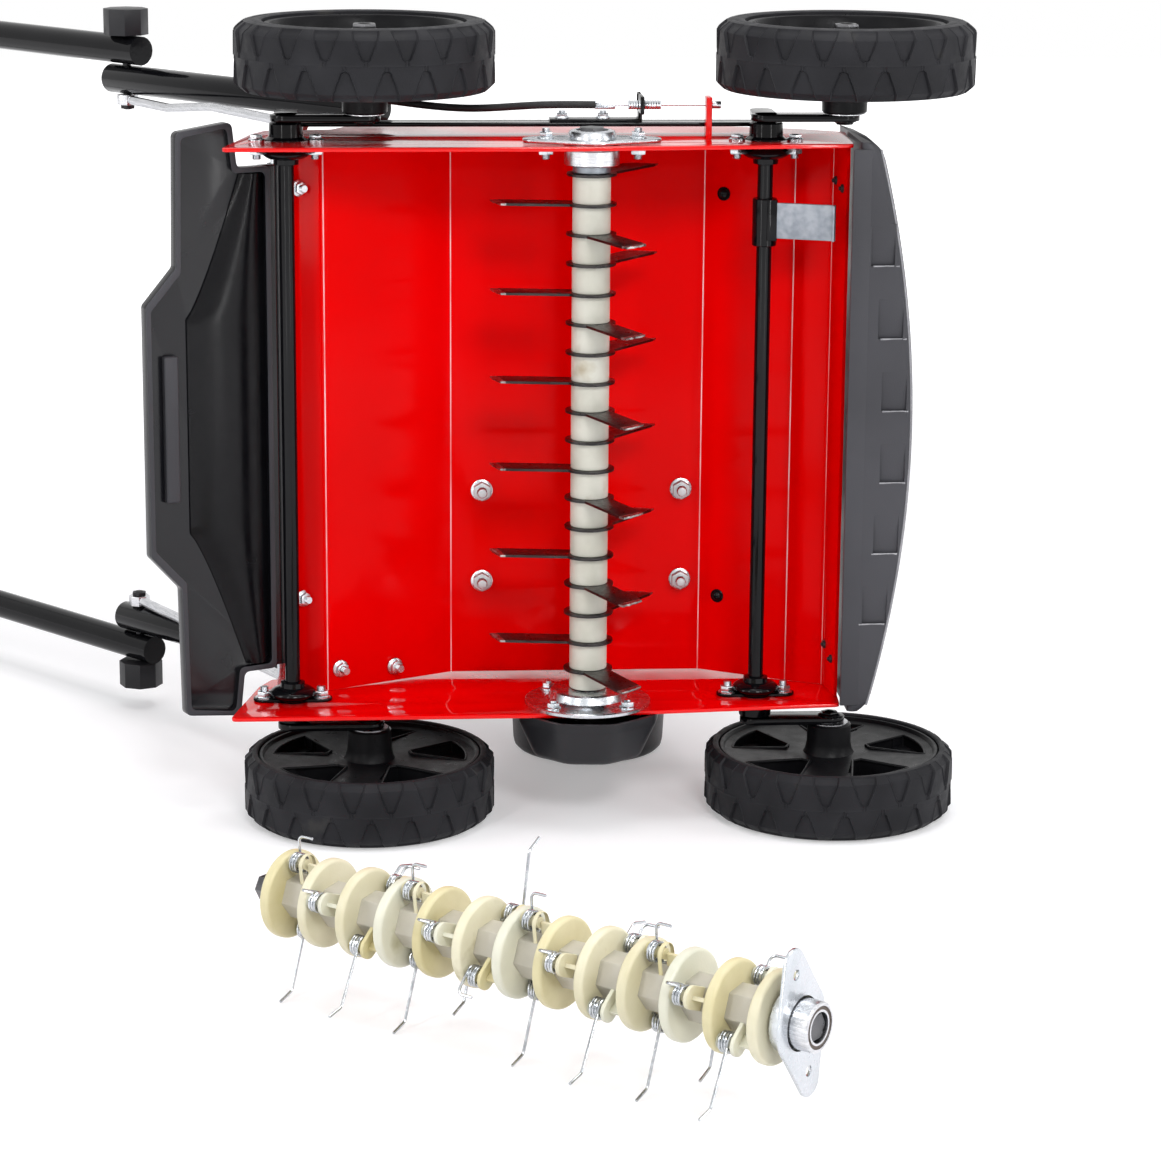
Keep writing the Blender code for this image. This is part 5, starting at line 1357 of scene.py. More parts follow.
@dataclass
class KnifeDrum:
    """Eighteen knives between ivory spacers on a hexagonal shaft, with its bearing and flanges."""

    pitch: float = 0.02314
    knives: int = 18
    first: float = 0.5171
    first_angle: float = 52.0
    reach: float = 0.08
    ring: float = 0.0195
    half: float = 0.0115
    thick: float = 0.002
    spacer: float = 0.0148
    hexagon: float = 0.0105

    def knife(self, wear: int) -> tuple[Mesh, Mesh]:
        """A knife along +X and its bright cutting edge.

        Args:
            wear: Which pattern of nicks its edge has.

        Returns:
            The knife's body and its edge.
        """
        root = degrees(asin(self.half / self.ring))
        ring = Lines.arc(0, 0, self.ring, root, 360 - root, 28)
        body = ring + [(self.reach - 0.0065, -self.half + 0.001), (self.reach - 0.015, self.half + 0.0008)]
        hole = Lines.circle(0, 0, self.hexagon + 0.0009, 6)
        nick = 0.0005 + 0.0004 * (wear % 3)
        edge = [
            (self.reach - back, y) for back, y in ((0.0067, 0.001 - self.half), (0.0006, 0.002 - self.half),
                (0.0022 + nick, -0.0046), (0.003, -0.002), (0.0052 + nick, 0.0025), (0.0068, 0.0055),
                (0.011, self.half + 0.0008), (0.0152, self.half + 0.0008))]
        plate = Forms.plate([body, hole], -self.thick / 2, self.thick / 2, 0.00025)
        return plate, Forms.plate([edge], -self.thick * 0.42, self.thick * 0.42, 0.0003)

    def stack(self) -> Piece:
        """The knives and their spacers."""
        piece = Piece("knife_stack", Finishes.KNIFE, "drum")
        patterns = [self.knife(k) for k in range(3)]
        for k in range(self.knives):
            z = self.first - k * self.pitch
            spin = Matrix.Rotation(radians(self.first_angle + 120 * k), 4, "Z")
            place = Matrix.Translation((0, DRUM_Y, z)) @ spin
            body, edge = patterns[(k * 7 // 3) % 3]
            piece.add(Forms.moved(body, place))
            piece.add(Forms.moved(edge, place), Finishes.EDGE)
            if k < self.knives - 1:
                low, high = z - self.pitch + self.thick / 2, z - self.thick / 2
                section = Lines.ring(self.hexagon + 0.0008, self.spacer, low, high, 0.0004)
                piece.add(Forms.turned(section, 0, DRUM_Y, 48), Finishes.IVORY)
        return piece

    def shaft(self) -> Piece:
        """The hexagonal shaft with its end collars and the nut on its end."""
        low, high = 0.061, PLATE_R + 0.0115
        last = self.first - (self.knives - 1) * self.pitch
        piece = Piece("knife_spindle", Finishes.STEEL, "drum")
        piece.add(Forms.rod((0, DRUM_Y, low), (0, DRUM_Y, high), self.hexagon, 6, edge=0.0006))
        for start, end in ((self.first + 0.0013, 0.5241), (0.1084, last - 0.0013)):
            section = Lines.ring(self.hexagon, self.spacer, start, end, 0.0006)
            piece.add(
                Forms.turned(section, 0, DRUM_Y, 48), Finishes.DULL if start > MID_Z else Finishes.IVORY)
        piece.take(Nut.SPINDLE.at((0, DRUM_Y, high - 0.004), (0, 0, 1)), Finishes.ZINC)
        return piece

    def bearing(self) -> Piece:
        """The ball bearing's races and its seal."""
        low, high = 0.5244, 0.5364
        outer = Lines.ring(0.0182, 0.0215, low, high, 0.0006)
        inner = Lines.ring(self.hexagon + 0.0008, 0.0138, low, high, 0.0004)
        seal = [
            (0.0136, low + 0.0006), (0.0184, low + 0.0006), (0.0184, high - 0.0006), (0.0136, high - 0.0006)]
        piece = Piece("drum_bearing_races", Finishes.CHROME, "drum")
        piece.add(Forms.turned(outer, 0, DRUM_Y, 64)).add(Forms.turned(inner, 0, DRUM_Y, 48))
        return piece.add(Forms.turned(seal, 0, DRUM_Y, 64), Finishes.SEAL)

    def build(self) -> None:
        """Build the drum, its shaft and its bearing."""
        self.stack().place("knife_drum")
        self.shaft().place("knife_shaft")
        self.bearing().place("drum_bearing")


@dataclass
class FlangeMount:
    """A diamond-shaped pressed plate that holds a bearing, with a boss and two bolts."""

    half: float = 0.0535
    nose: float = 0.011
    waist: float = 0.027
    bolts: float = 0.071
    thick: float = 0.003

    def outline(self) -> Outline:
        """The diamond's outline about the origin, its bolts along X."""
        lobe, line = self.half - self.nose, []
        for x, radius, start, end in ((lobe, self.nose, -60, 60), (0, self.waist, 62, 118),
                                      (-lobe, self.nose, 120, 240), (0, self.waist, 242, 298)):
            line += Lines.arc(x, 0, radius, start, end, 14)
        return line

    def plate(self, z: float, bore: float) -> Mesh:
        """The flat plate with its bolt holes and its bore, from z upwards."""
        holes = [Lines.circle(side * self.bolts / 2, 0, 0.0034, 24) for side in (-1, 1)]
        return Forms.plate([self.outline(), *holes, Lines.circle(0, 0, bore)], z, z + self.thick, 0.0007)


@dataclass
class DrumMounts:
    """The knife drum's flange on the right side plate and its turned housing on the left one."""

    flange: FlangeMount = field(default_factory=FlangeMount)

    def right(self) -> Piece:
        """The diamond flange with its domed cup outside the right plate."""
        face = PLATE_R + SEAT
        place = Matrix.Translation((0, DRUM_Y, 0))
        piece = Piece("drum_flange_right", Finishes.ZINC)
        piece.add(Forms.moved(self.flange.plate(face, 0.015), place))
        inner = 0.5367
        cup = [(0.0125, inner), (0.021, inner), (0.0215, inner + 0.0006)]
        cup += [
            (r, face + d) for r, d in ((0.0215, 0.0015), (0.0185, 0.003), (0.0182, 0.007), (0.0172, 0.0086),
                (0.015, 0.0093), (0.0125, 0.0093))]
        piece.add(Forms.turned(cup, 0, DRUM_Y, 64))
        for side in (-1, 1):
            x = side * self.flange.bolts / 2
            piece.take(Nut.FLANGE_OUTSIDE.at((x, DRUM_Y, face + self.flange.thick), (0, 0, 1)))
            piece.take(Nut.FLANGE_INSIDE.at((x, DRUM_Y, INNER_R), (0, 0, -1)))
        return piece

    def left(self) -> Piece:
        """The housing inside the left plate, held by four nuts."""
        seat = INNER_L + SEAT
        section = [
            (r, seat + d) for r, d in ((0.0113, 0.011), (0.015, 0.0117), (0.028, 0.0117), (0.0296, 0.0106),
                (0.0316, 0.005), (0.0345, 0.0032), (0.049, 0.003), (0.05, 0.0022), (0.05, 0.0), (0.029, 0.0))]
        section += [(0.029, PLATE_L - 0.001), (0.0113, PLATE_L - 0.001)]
        piece = Piece("drum_housing_left", Finishes.ZINC)
        piece.add(Forms.turned(section, 0, DRUM_Y, 72))
        for k in range(4):
            a = radians(45 + 90 * k)
            piece.take(Nut.HOUSING.at((0.0415 * cos(a), DRUM_Y + 0.0415 * sin(a), seat + 0.003), (0, 0, 1)))
        return piece

    def build(self) -> None:
        """Build both mounts."""
        self.right().place("bearing_flange_right")
        self.left().place("bearing_housing_left")


@dataclass
class HeightGear:
    """The flat link between the axles, the height cable's bracket and the catch on the front rod."""

    lever: float = 0.034
    pin: float = 0.004
    low: float = PLATE_R + 0.0075
    thick: float = 0.003
    cable_y: float = 0.1125
    cable_z: float = PLATE_R + 0.0255

    def link(self) -> Piece:
        """The link bar with its slotted ends, its bracket and its barrel adjuster."""
        cable_y, cable_z = self.cable_y, self.cable_z
        y, top = ROD_Y + self.lever, self.low + self.thick
        outline = Lines.slot((REAR_ROD_X, y), (FRONT_ROD_X, y), 0.0115)
        slots = [Lines.slot((x, y - 0.002), (x, y), self.pin + 0.0008) for x in (REAR_ROD_X, FRONT_ROD_X)]
        piece = Piece("link_rail", Finishes.BLACK, "link")
        piece.add(Forms.plate([outline, *slots], self.low, top, 0.0006))
        piece.add(Forms.block((-0.03, y - 0.009, top - 0.0005), (0.042, y + 0.009, top + 0.0025), 0.0008))
        ear_low, ear_high = (0.039, cable_y - 0.007, cable_z - 0.007), (0.042, y + 0.009, cable_z + 0.007)
        piece.add(Forms.block(ear_low, ear_high, 0.001))
        piece.add(Forms.block((0.039, y - 0.009, top), (0.042, y + 0.009, cable_z + 0.007), 0.001))
        for x in (-0.02, 0.012):
            piece.take(Nut.BRACKET.at((x, y, top + 0.0025), (0, 0, 1)), Finishes.ZINC)
        start, step, core = 0.03, 0.001, 0.0014
        thread = [(core, start), (0.0034, start)]
        thread += [(0.0036 if k % 2 else 0.0032, start + step * k) for k in range(26)]
        thread.append((core, 0.0555))
        barrel = Forms.turned(thread, 0, 0, 24)
        lay = Matrix.Translation((0, cable_y, cable_z)) @ Matrix.Rotation(radians(90), 4, "Y")
        piece.add(Forms.moved(barrel, lay), Finishes.ZINC)
        return piece

    def catch(self) -> Piece:
        """The zinc catch that swings on the front rod."""
        low, high = 0.464, 0.496
        piece = Piece("catch_blade", Finishes.DULL, "front_carriage")
        foot = low - 0.005
        ring = [
            (0.0066, foot), (0.0088, foot), (0.0095, foot + 0.0006), (0.0095, high - 0.0006), (0.0088, high),
            (0.0066, high)]
        piece.add(Forms.turned(ring, FRONT_ROD_X, ROD_Y, 40), Finishes.BLACK)
        tilt = Matrix.Translation((FRONT_ROD_X, ROD_Y, 0)) @ Matrix.Rotation(radians(-20), 4, "Z")
        root = Forms.block((0.004, -0.0092, low), (0.0118, -0.006, high), 0.0006)
        piece.add(Forms.moved(root, tilt), Finishes.BLACK)
        blade = Forms.block((0.011, -0.0085, low + 0.002), (0.058, -0.0065, high - 0.002), 0.0006)
        piece.add(Forms.moved(blade, tilt))
        hook = Forms.block((0.056, -0.012, low + 0.002), (0.058, -0.0065, high - 0.002), 0.0006)
        return piece.add(Forms.moved(hook, tilt))

    def cable(self) -> Piece:
        """The sleeve from the lever, the bare wire through the adjuster and its end at the post."""
        y, z = self.cable_y, self.cable_z
        knots = (
            (-0.268, 0.268, 0.5703), (-0.24, 0.236, 0.5712), (-0.2, 0.196, 0.57), (-0.15, 0.156, 0.565),
            (-0.095, 0.126, z - 0.004), (-0.035, y, z), (0.019, y, z))
        piece = Piece("height_cable", Finishes.RUBBER)
        piece.add(Forms.tube(Lines.smooth(knots, 12), 0.0029, 4))
        piece.add(Forms.rod((0.018, y, z), (0.097, y, z), 0.0009, 12), Finishes.SPRING)
        piece.add(Forms.rod((0.0948, y, z), (0.102, y, z), 0.0029, 20, edge=0.0006), Finishes.ZINC)
        piece.add(Forms.rod((0.004, y, z), (0.0198, y, z), 0.0032, 24, edge=0.0005), Finishes.ZINC)
        return piece

    def build(self) -> None:
        """Build the link, the catch and the cable."""
        self.link().place("link_bar")
        self.catch().place("catch_plate")
        self.cable().place("depth_cable")


@dataclass
class SpareDrum:
    """The interchangeable drum of spring tines that lies on the floor in front of the machine."""

    x: float = -0.252
    y: float = -0.278
    height: float = 0.0694186
    heading: float = -39.6
    modules: int = 12
    sets: int = 4
    pitch: float = 0.033
    start: float = 0.022
    disc: float = 0.031
    thick: float = 0.008
    hexagon: float = 0.0095
    hub: float = 0.015
    pin: float = 0.004
    pin_circle: float = 0.0255
    eye: float = 0.008
    eye_thick: float = 0.003
    wire: float = 0.00105
    coil: float = 0.0062
    turns: float = 2.5
    coil_pitch: float = 0.0031
    lift: float = 0.0022
    long_tine: float = 0.043
    short_tine: float = 0.017
    tip: float = 0.013
    coarse: int = 8
    fine: int = 4

    tones = (
        Finishes.AMBER, Finishes.CREAM, Finishes.CREAM, Finishes.PALE, Finishes.AMBER, Finishes.CREAM,
        Finishes.PALE)
    phases = (9.0, 69.0, 129.0)
    legs = (((False, 5.0), (True, 160.0)), ((False, 69.0), (True, 165.0)), ((True, 154.0), (False, 320.0)))
    other_way = {
        1: ((False, 69.0), (True, 308.0)), 7: ((False, 69.0), (True, 308.0)),
        5: ((False, 137.0), (True, 350.0))}

    @property
    def place(self) -> Matrix:
        """The drum's own frame, its axis along Z, in the machine's coordinates."""
        turn = Matrix.Rotation(radians(self.heading), 4, "Z") @ Matrix.Rotation(radians(90), 4, "Y")
        return Matrix.Translation((self.x, self.y, self.height)) @ turn

    @property
    def end(self) -> float:
        """Where the last disc ends along the axis."""
        return self.start + self.modules * self.pitch + self.thick

    @staticmethod
    def aim(angle: float) -> Vector:
        """The drum's own direction of an angle taken from upright towards the front."""
        a = radians(180.0 + angle)
        return Vector((cos(a), sin(a), 0.0))

    def eye_height(self) -> float:
        """From a disc's face to the eyes' plate, past the tallest coil."""
        return self.lift + self.turns * self.coil_pitch + 0.0019

    def spring(self, centre: Vector, long_tine: bool, direction: float) -> list[Vector]:
        """The centre line of a one-ended torsion spring.

        Args:
            centre: The coil's middle at its first turn.
            long_tine: Whether it has the long tine, whose foot is at the disc.
            direction: The tine's direction from upright.

        Returns:
            The wire's points, from its foot to its tine's tip.
        """
        aim = self.aim(direction)
        leave = atan2(aim.y, aim.x) - pi / 2

        def on_coil(back: float, lift: float = 0.0) -> Vector:
            """A point of the coil, so many coarse steps before the tine leaves it."""
            angle = leave - tau * back / self.coarse
            return centre + Vector((self.coil * cos(angle), self.coil * sin(angle), lift))

        most = round(self.turns * self.coarse)
        count = min(range(most - 4, most + 1), key=lambda back: on_coil(back).xy.length)
        climb = self.coil_pitch * count / self.coarse
        wound = count + self.coarse
        steps = wound * self.fine
        turns = []
        for i in range(steps + 1):
            share = i / steps
            turns.append(on_coil(wound * (1 - share), climb * (share if long_tine else 1 - share)))
        foot = turns[0].copy()
        foot.z = centre.z - self.lift + (-0.0015 if long_tine else self.eye_height() + 0.0015)
        elbow = turns[-1] + aim * (self.long_tine if long_tine else self.short_tine)
        if long_tine:
            tip = elbow + self.aim(direction - 50.0) * self.tip
        else:
            tip = elbow + Vector((0, 0, self.tip - 0.001))
        bend = Lines.bent([turns[-1], elbow, tip], 0.0045, 8)
        return [foot] + turns + bend[1:]

    def springs(self, index: int, start: float) -> Iterable[list[Vector]]:
        """The two springs of the module whose disc starts at start."""
        phase = self.phases[index % 3]
        legs = self.other_way.get(index, self.legs[index % 3])
        for turn, (long_tine, direction) in zip((0.0, 180.0), legs):
            centre = self.aim(phase + turn) * self.pin_circle
            centre.z = start + self.thick + self.lift
            yield self.spring(centre, long_tine, direction)

    def disc_mesh(self, start: float) -> Mesh:
        """One disc with a rounded rim and a shallow ring on each face."""
        bore, rim, soft = self.hexagon + 0.0003, self.disc, 0.0024
        low, top = start + 0.0002, start + self.thick
        turns = [pi * k / 12 for k in range(7)]
        curve = [(soft * (1 - cos(a)), soft * (1 - sin(a))) for a in turns]
        section = [(bore, low), (rim - 0.0075, low)]
        section += [(rim - across, low + along) for across, along in curve[::-1]]
        section += [(rim - across, top - along) for across, along in curve]
        section += [(rim - 0.0075, top), (bore, top)]
        return Forms.turned(section, 0, 0, 72)

    def hub_block(self, index: int, low: float, high: float) -> Mesh:
        """The hexagonal block between two discs."""
        turn = self.phases[index % 3] + 30.0
        corners = [tuple((self.aim(turn + 60.0 * k) * (self.hub + 0.0012)).xy) for k in range(6)]
        bore = Lines.circle(0, 0, self.hexagon + 0.0004, 24)
        return Forms.plate([Lines.rounded(corners, 0.0016), bore], low, high, 0.0002)

    def module(self, index: int, start: float, joined: bool) -> Iterable[Mesh]:
        """The eyes' plate, the pins and the ribs of one module, which may join the next disc."""
        phase = self.phases[index % 3]
        eye_z = start + self.thick + self.eye_height()
        first, second = self.aim(phase) * self.pin_circle, self.aim(phase + 180.0) * self.pin_circle
        arm = Lines.slot(tuple(first.xy), tuple(second.xy), self.eye - 0.0002, 16)
        bore = Lines.circle(0, 0, self.hexagon + 0.0006, 48)
        yield Forms.plate([arm, bore], eye_z, eye_z + self.eye_thick, 0.0006)
        across = self.aim(phase + 90.0) * 0.0013
        for p in (first, second):
            yield Forms.rod((p.x, p.y, start + 0.004), (p.x, p.y, eye_z + 0.0015), self.pin - 0.0002, 28)
            face = start + self.thick
            collar = [
                (self.pin + wide, face + high)
                for wide, high in ((-0.0008, -0.0002), (0.0012, -0.0002), (0.0, 0.0008), (-0.0008, 0.0008))]
            yield Forms.turned(collar, p.x, p.y, 28)
            inner, outer = p * 0.7, p * 1.04
            corners = [inner - across, outer - across, outer + across, inner + across]
            end = start + self.pitch + (0.0015 if joined else -SEAT)
            yield Forms.plate([[(c.x, c.y) for c in corners]], eye_z + self.eye_thick - 0.0005, end, 0.0003)

    def tine_set(self, number: int) -> Piece:
        """Three modules with their springs; the last set also carries the end disc."""
        per_set = self.modules // self.sets
        first, last = number * per_set, number == self.sets - 1
        starts = [self.start + (first + k) * self.pitch for k in range(per_set)]
        end = starts[-1] + self.pitch + (self.thick if last else -SEAT)
        discs = starts + [starts[-1] + self.pitch] if last else starts
        piece = Piece(f"tine_modules_{number + 1}", Finishes.CREAM, "spare_drum")
        for k, start in enumerate(discs):
            tone = self.tones[(first + k) % len(self.tones)]
            piece.add(Forms.moved(self.disc_mesh(start), self.place), tone)
        for k, start in enumerate(starts):
            index = first + k
            close = end if k == per_set - 1 and not last else start + self.pitch + 0.001
            piece.add(
                Forms.moved(self.hub_block(index, start + self.thick - 0.0005, close), self.place),
                Finishes.HUB)
            for mesh in self.module(index, start, last or k < per_set - 1):
                piece.add(Forms.moved(mesh, self.place), self.tones[(index + 2) % len(self.tones)])
            for points in self.springs(first + k, start):
                piece.add(Forms.moved(Forms.tube(points, self.wire, 3), self.place), Finishes.SPRING)
        return piece

    def spindle(self) -> Piece:
        """The hexagonal shaft with a groove near its start."""
        piece = Piece("tine_spindle", Finishes.STEEL, "spare_drum")
        meshes = [Forms.rod((0, 0, 0.0), (0, 0, self.end + 0.0262), self.hexagon, 6, edge=0.0007)]
        groove = [
            (self.hexagon * 0.8, 0.006), (self.hexagon * 0.985, 0.006), (self.hexagon * 0.985, 0.0075),
            (self.hexagon * 0.8, 0.0075)]
        meshes.append(Forms.turned(groove, 0, 0, 32))
        return piece.take(Forms.moved(mesh, self.place) for mesh in meshes)

    def bearing(self) -> Piece:
        """The bearing at the shaft's end, its races and its seal."""
        low, high, bore = self.end + 0.002, self.end + 0.028, self.hexagon + 0.0006
        outer = [
            (0.014, low), (0.016, low), (0.0168, low + 0.0008), (0.0165, high - 0.0008), (0.0158, high),
            (0.014, high)]
        inner = [(bore, low), (0.0116, low), (0.0116, high - 0.0003), (bore, high - 0.0003)]
        seal = [
            (0.0115, low + 0.001), (0.0142, low + 0.001), (0.0142, high - 0.0008), (0.0115, high - 0.0008)]
        piece = Piece("tine_bearing_races", Finishes.CHROME, "spare_drum")
        for section, finish in ((outer, Finishes.CHROME), (inner, Finishes.CHROME), (seal, Finishes.SEAL)):
            piece.add(Forms.moved(Forms.turned(section, 0, 0, 64), self.place), finish)
        return piece

    def mount(self) -> Piece:
        """The loose diamond flange that turns on the bearing."""
        z = self.end + 0.0125
        turn = Matrix.Rotation(radians(14), 4, "Z")
        boss = [
            (0.0178, self.end + 0.0025), (0.0198, self.end + 0.0025), (0.0205, self.end + 0.0034),
            (0.0205, z + 0.0005), (0.023, z + 0.002), (0.0178, z + 0.002)]
        piece = Piece("tine_flange_plate", Finishes.ZINC, "spare_flange")
        piece.add(Forms.moved(FlangeMount().plate(z, 0.0178), self.place @ turn))
        return piece.add(Forms.moved(Forms.turned(boss, 0, 0, 64), self.place))

    def build(self) -> None:
        """Build the spare drum's pieces."""
        for number in range(self.sets):
            self.tine_set(number).place(f"tine_set_{number + 1}")
        self.spindle().place("tine_shaft")
        self.bearing().place("tine_bearing")
        self.mount().place("tine_flange")


@dataclass
class Refined:
    """A CAD node that keeps its shape and gets rounded edges and a finish."""

    node: str
    finish: Finishes
    rounding: float = 0.001
    steps: int = 2

    def source(self) -> Mesh:
        """A copy of the node's mesh in the machine's coordinates."""
        copy = frame["nodes"][self.node].data.copy()
        copy.transform(Matrix.Translation((CRANK_X, CRANK_Y, 0)))
        return copy

    def mesh(self) -> Mesh:
        """The node's merged and rounded mesh in the machine's coordinates."""
        return Forms.bevelled(self.source(), self.rounding, self.steps)

    @property
    def corners(self) -> tuple[Vector, Vector]:
        """The node's lowest and highest corners in the machine's coordinates."""
        low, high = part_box(self.node)
        shift = Vector((CRANK_X, CRANK_Y, 0.0))
        return Vector(low) + shift, Vector(high) + shift

    def band(self, share: float) -> Mesh:
        """A raised band round the node, level with the machine's side.

        Args:
            share: Its place along the machine's width, as a share of the node's own.

        Returns:
            The band.
        """
        low, high = self.corners
        middle = (low + high) / 2
        proud, thick = 0.0012, 0.003
        z = low.z + (high.z - low.z) * share
        bm = bmesh.new()
        bm.from_mesh(self.source())
        bmesh.ops.remove_doubles(bm, verts=bm.verts[:], dist=0.00001)
        for out in (1.0, -1.0):
            bmesh.ops.bisect_plane(
                bm, geom=bm.verts[:] + bm.edges[:] + bm.faces[:], dist=0.000001,
                plane_co=(0, 0, z + out * thick / 2), plane_no=(0, 0, out), clear_outer=True)
        bmesh.ops.holes_fill(bm, edges=[e for e in bm.edges if e.is_boundary], sides=0)
        grow = 1 + 2 * proud / min(high.x - low.x, high.y - low.y)
        bmesh.ops.scale(
            bm, vec=(grow, grow, 1.0), verts=bm.verts[:],
            space=Matrix.Translation((-middle.x, -middle.y, 0.0)))
        return Forms.settle(bm)

    def piece(self, name: str) -> Piece:
        """The piece that stands for the node."""
        body = frame["nodes"][self.node]["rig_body"]
        return Piece(name, self.finish, body).add(self.mesh())

    def place(self, name: str) -> None:
        """Build the piece and let it stand for the node."""
        self.piece(name).place(self.node)


@dataclass
class Engine:
    """The engine above the deck: crankcase, finned cylinder, fan cowl, starter, tank and filters."""

    lean: float = 155.0
    fin_half: float = 0.06
    cowl_high: float = BLOCK_HIGH + SEAT + 0.062
    cowl_bars: int = 24

    def along(self, distance: float, across: float = 0.0) -> Point2:
        """A point along the cylinder's axis from the crankshaft, and across it."""
        a = radians(self.lean)
        return (CRANK_X + cos(a) * distance - sin(a) * across, CRANK_Y + sin(a) * distance + cos(a) * across)

    def crankcase(self) -> Piece:
        """The cast crankcase with its studs and nuts under the deck."""
        piece = Refined("crankcase", Finishes.CASTING, 0.0022, 3).piece("crankcase_casting")
        for x, z in BOLT_PLACES:
            piece.take(Nut.ENGINE.at((x, DECK_Y - 0.0006, z), (0, -1, 0)), Finishes.ZINC)
        for k in range(6):
            a = radians(-10 + 44 * k)
            centre = (CRANK_X + 0.07 * cos(a), CRANK_Y + 0.07 * sin(a), BLOCK_LOW)
            piece.take(Nut.CRANKCASE.at(centre, (0, 0, -1)), Finishes.ZINC)
        return piece

    def block(self, near: float, far: float, half: float, z0: float, z1: float, edge: float) -> Mesh:
        """A slab across the cylinder's axis."""
        corners = [
            self.along(near, -half), self.along(far, -half), self.along(far, half), self.along(near, half)]
        return Forms.plate([Lines.rounded(corners, 0.006)], z0, z1, edge)

    def cylinder(self) -> Piece:
        """The cylinder with thin cooling fins."""
        low, high = BLOCK_LOW + 0.022, BLOCK_HIGH - 0.04
        piece = Piece("cylinder_fins", Finishes.CASTING)
        piece.add(self.block(0.08, 0.1515, 0.046, low + 0.012, high - 0.012, 0.002))
        for k in range(8):
            near = 0.0902 + 0.0074 * k
            piece.add(
                self.block(near, near + 0.0026, self.fin_half - 0.001, low + 0.001, high - 0.001, 0.0006))
        return piece

    def build(self) -> None:
        """Build the engine's pieces."""
        self.crankcase().place("crankcase")
        self.cylinder().place("cylinder")
        Refined("valve_cover", Finishes.ZINC, 0.004, 4).place("rocker_cover")
        cowl = Refined("fan_shroud", Finishes.RED, 0.003, 3).piece("fan_cowl")
        for k in range(self.cowl_bars):
            a = tau * k / self.cowl_bars
            start = Vector((cos(a) * 0.056, sin(a) * 0.056, self.cowl_high + 0.0305))
            end = Vector((cos(a) * 0.076, sin(a) * 0.076, self.cowl_high + 0.024))
            shift = Vector((CRANK_X, CRANK_Y, 0.0))
            cowl.add(Forms.rod(start + shift, end + shift, 0.0014, 10), Finishes.BLACK)
        cowl.place("fan_shroud")
        Refined("starter_grip", Finishes.RUBBER, 0.0024, 3).place("pull_handle")
        Refined("throttle_lever", Finishes.STEEL, 0.0006).place("throttle_arm")
        Refined("fuel_cap", Finishes.RUBBER, 0.0016, 3).place("petrol_cap")
        for node, name, finish, shares in (("fuel_tank", "petrol_tank", Finishes.PLASTIC, (0.5,)),
                                           ("air_cleaner", "air_filter_box", Finishes.PLASTIC, (0.3, 0.72)),
                                           ("muffler", "exhaust_box", Finishes.STEEL,
                                            tuple(0.14 + 0.09 * k for k in range(9)))):
            part = Refined(node, finish, 0.006 if node == "fuel_tank" else 0.004, 4)
            piece = part.piece(name)
            for share in shares:
                piece.add(part.band(share))
            piece.place(node)
        Refined("oil_dipstick", Finishes.PLASTIC, 0.0012).place("oil_plug_cap")


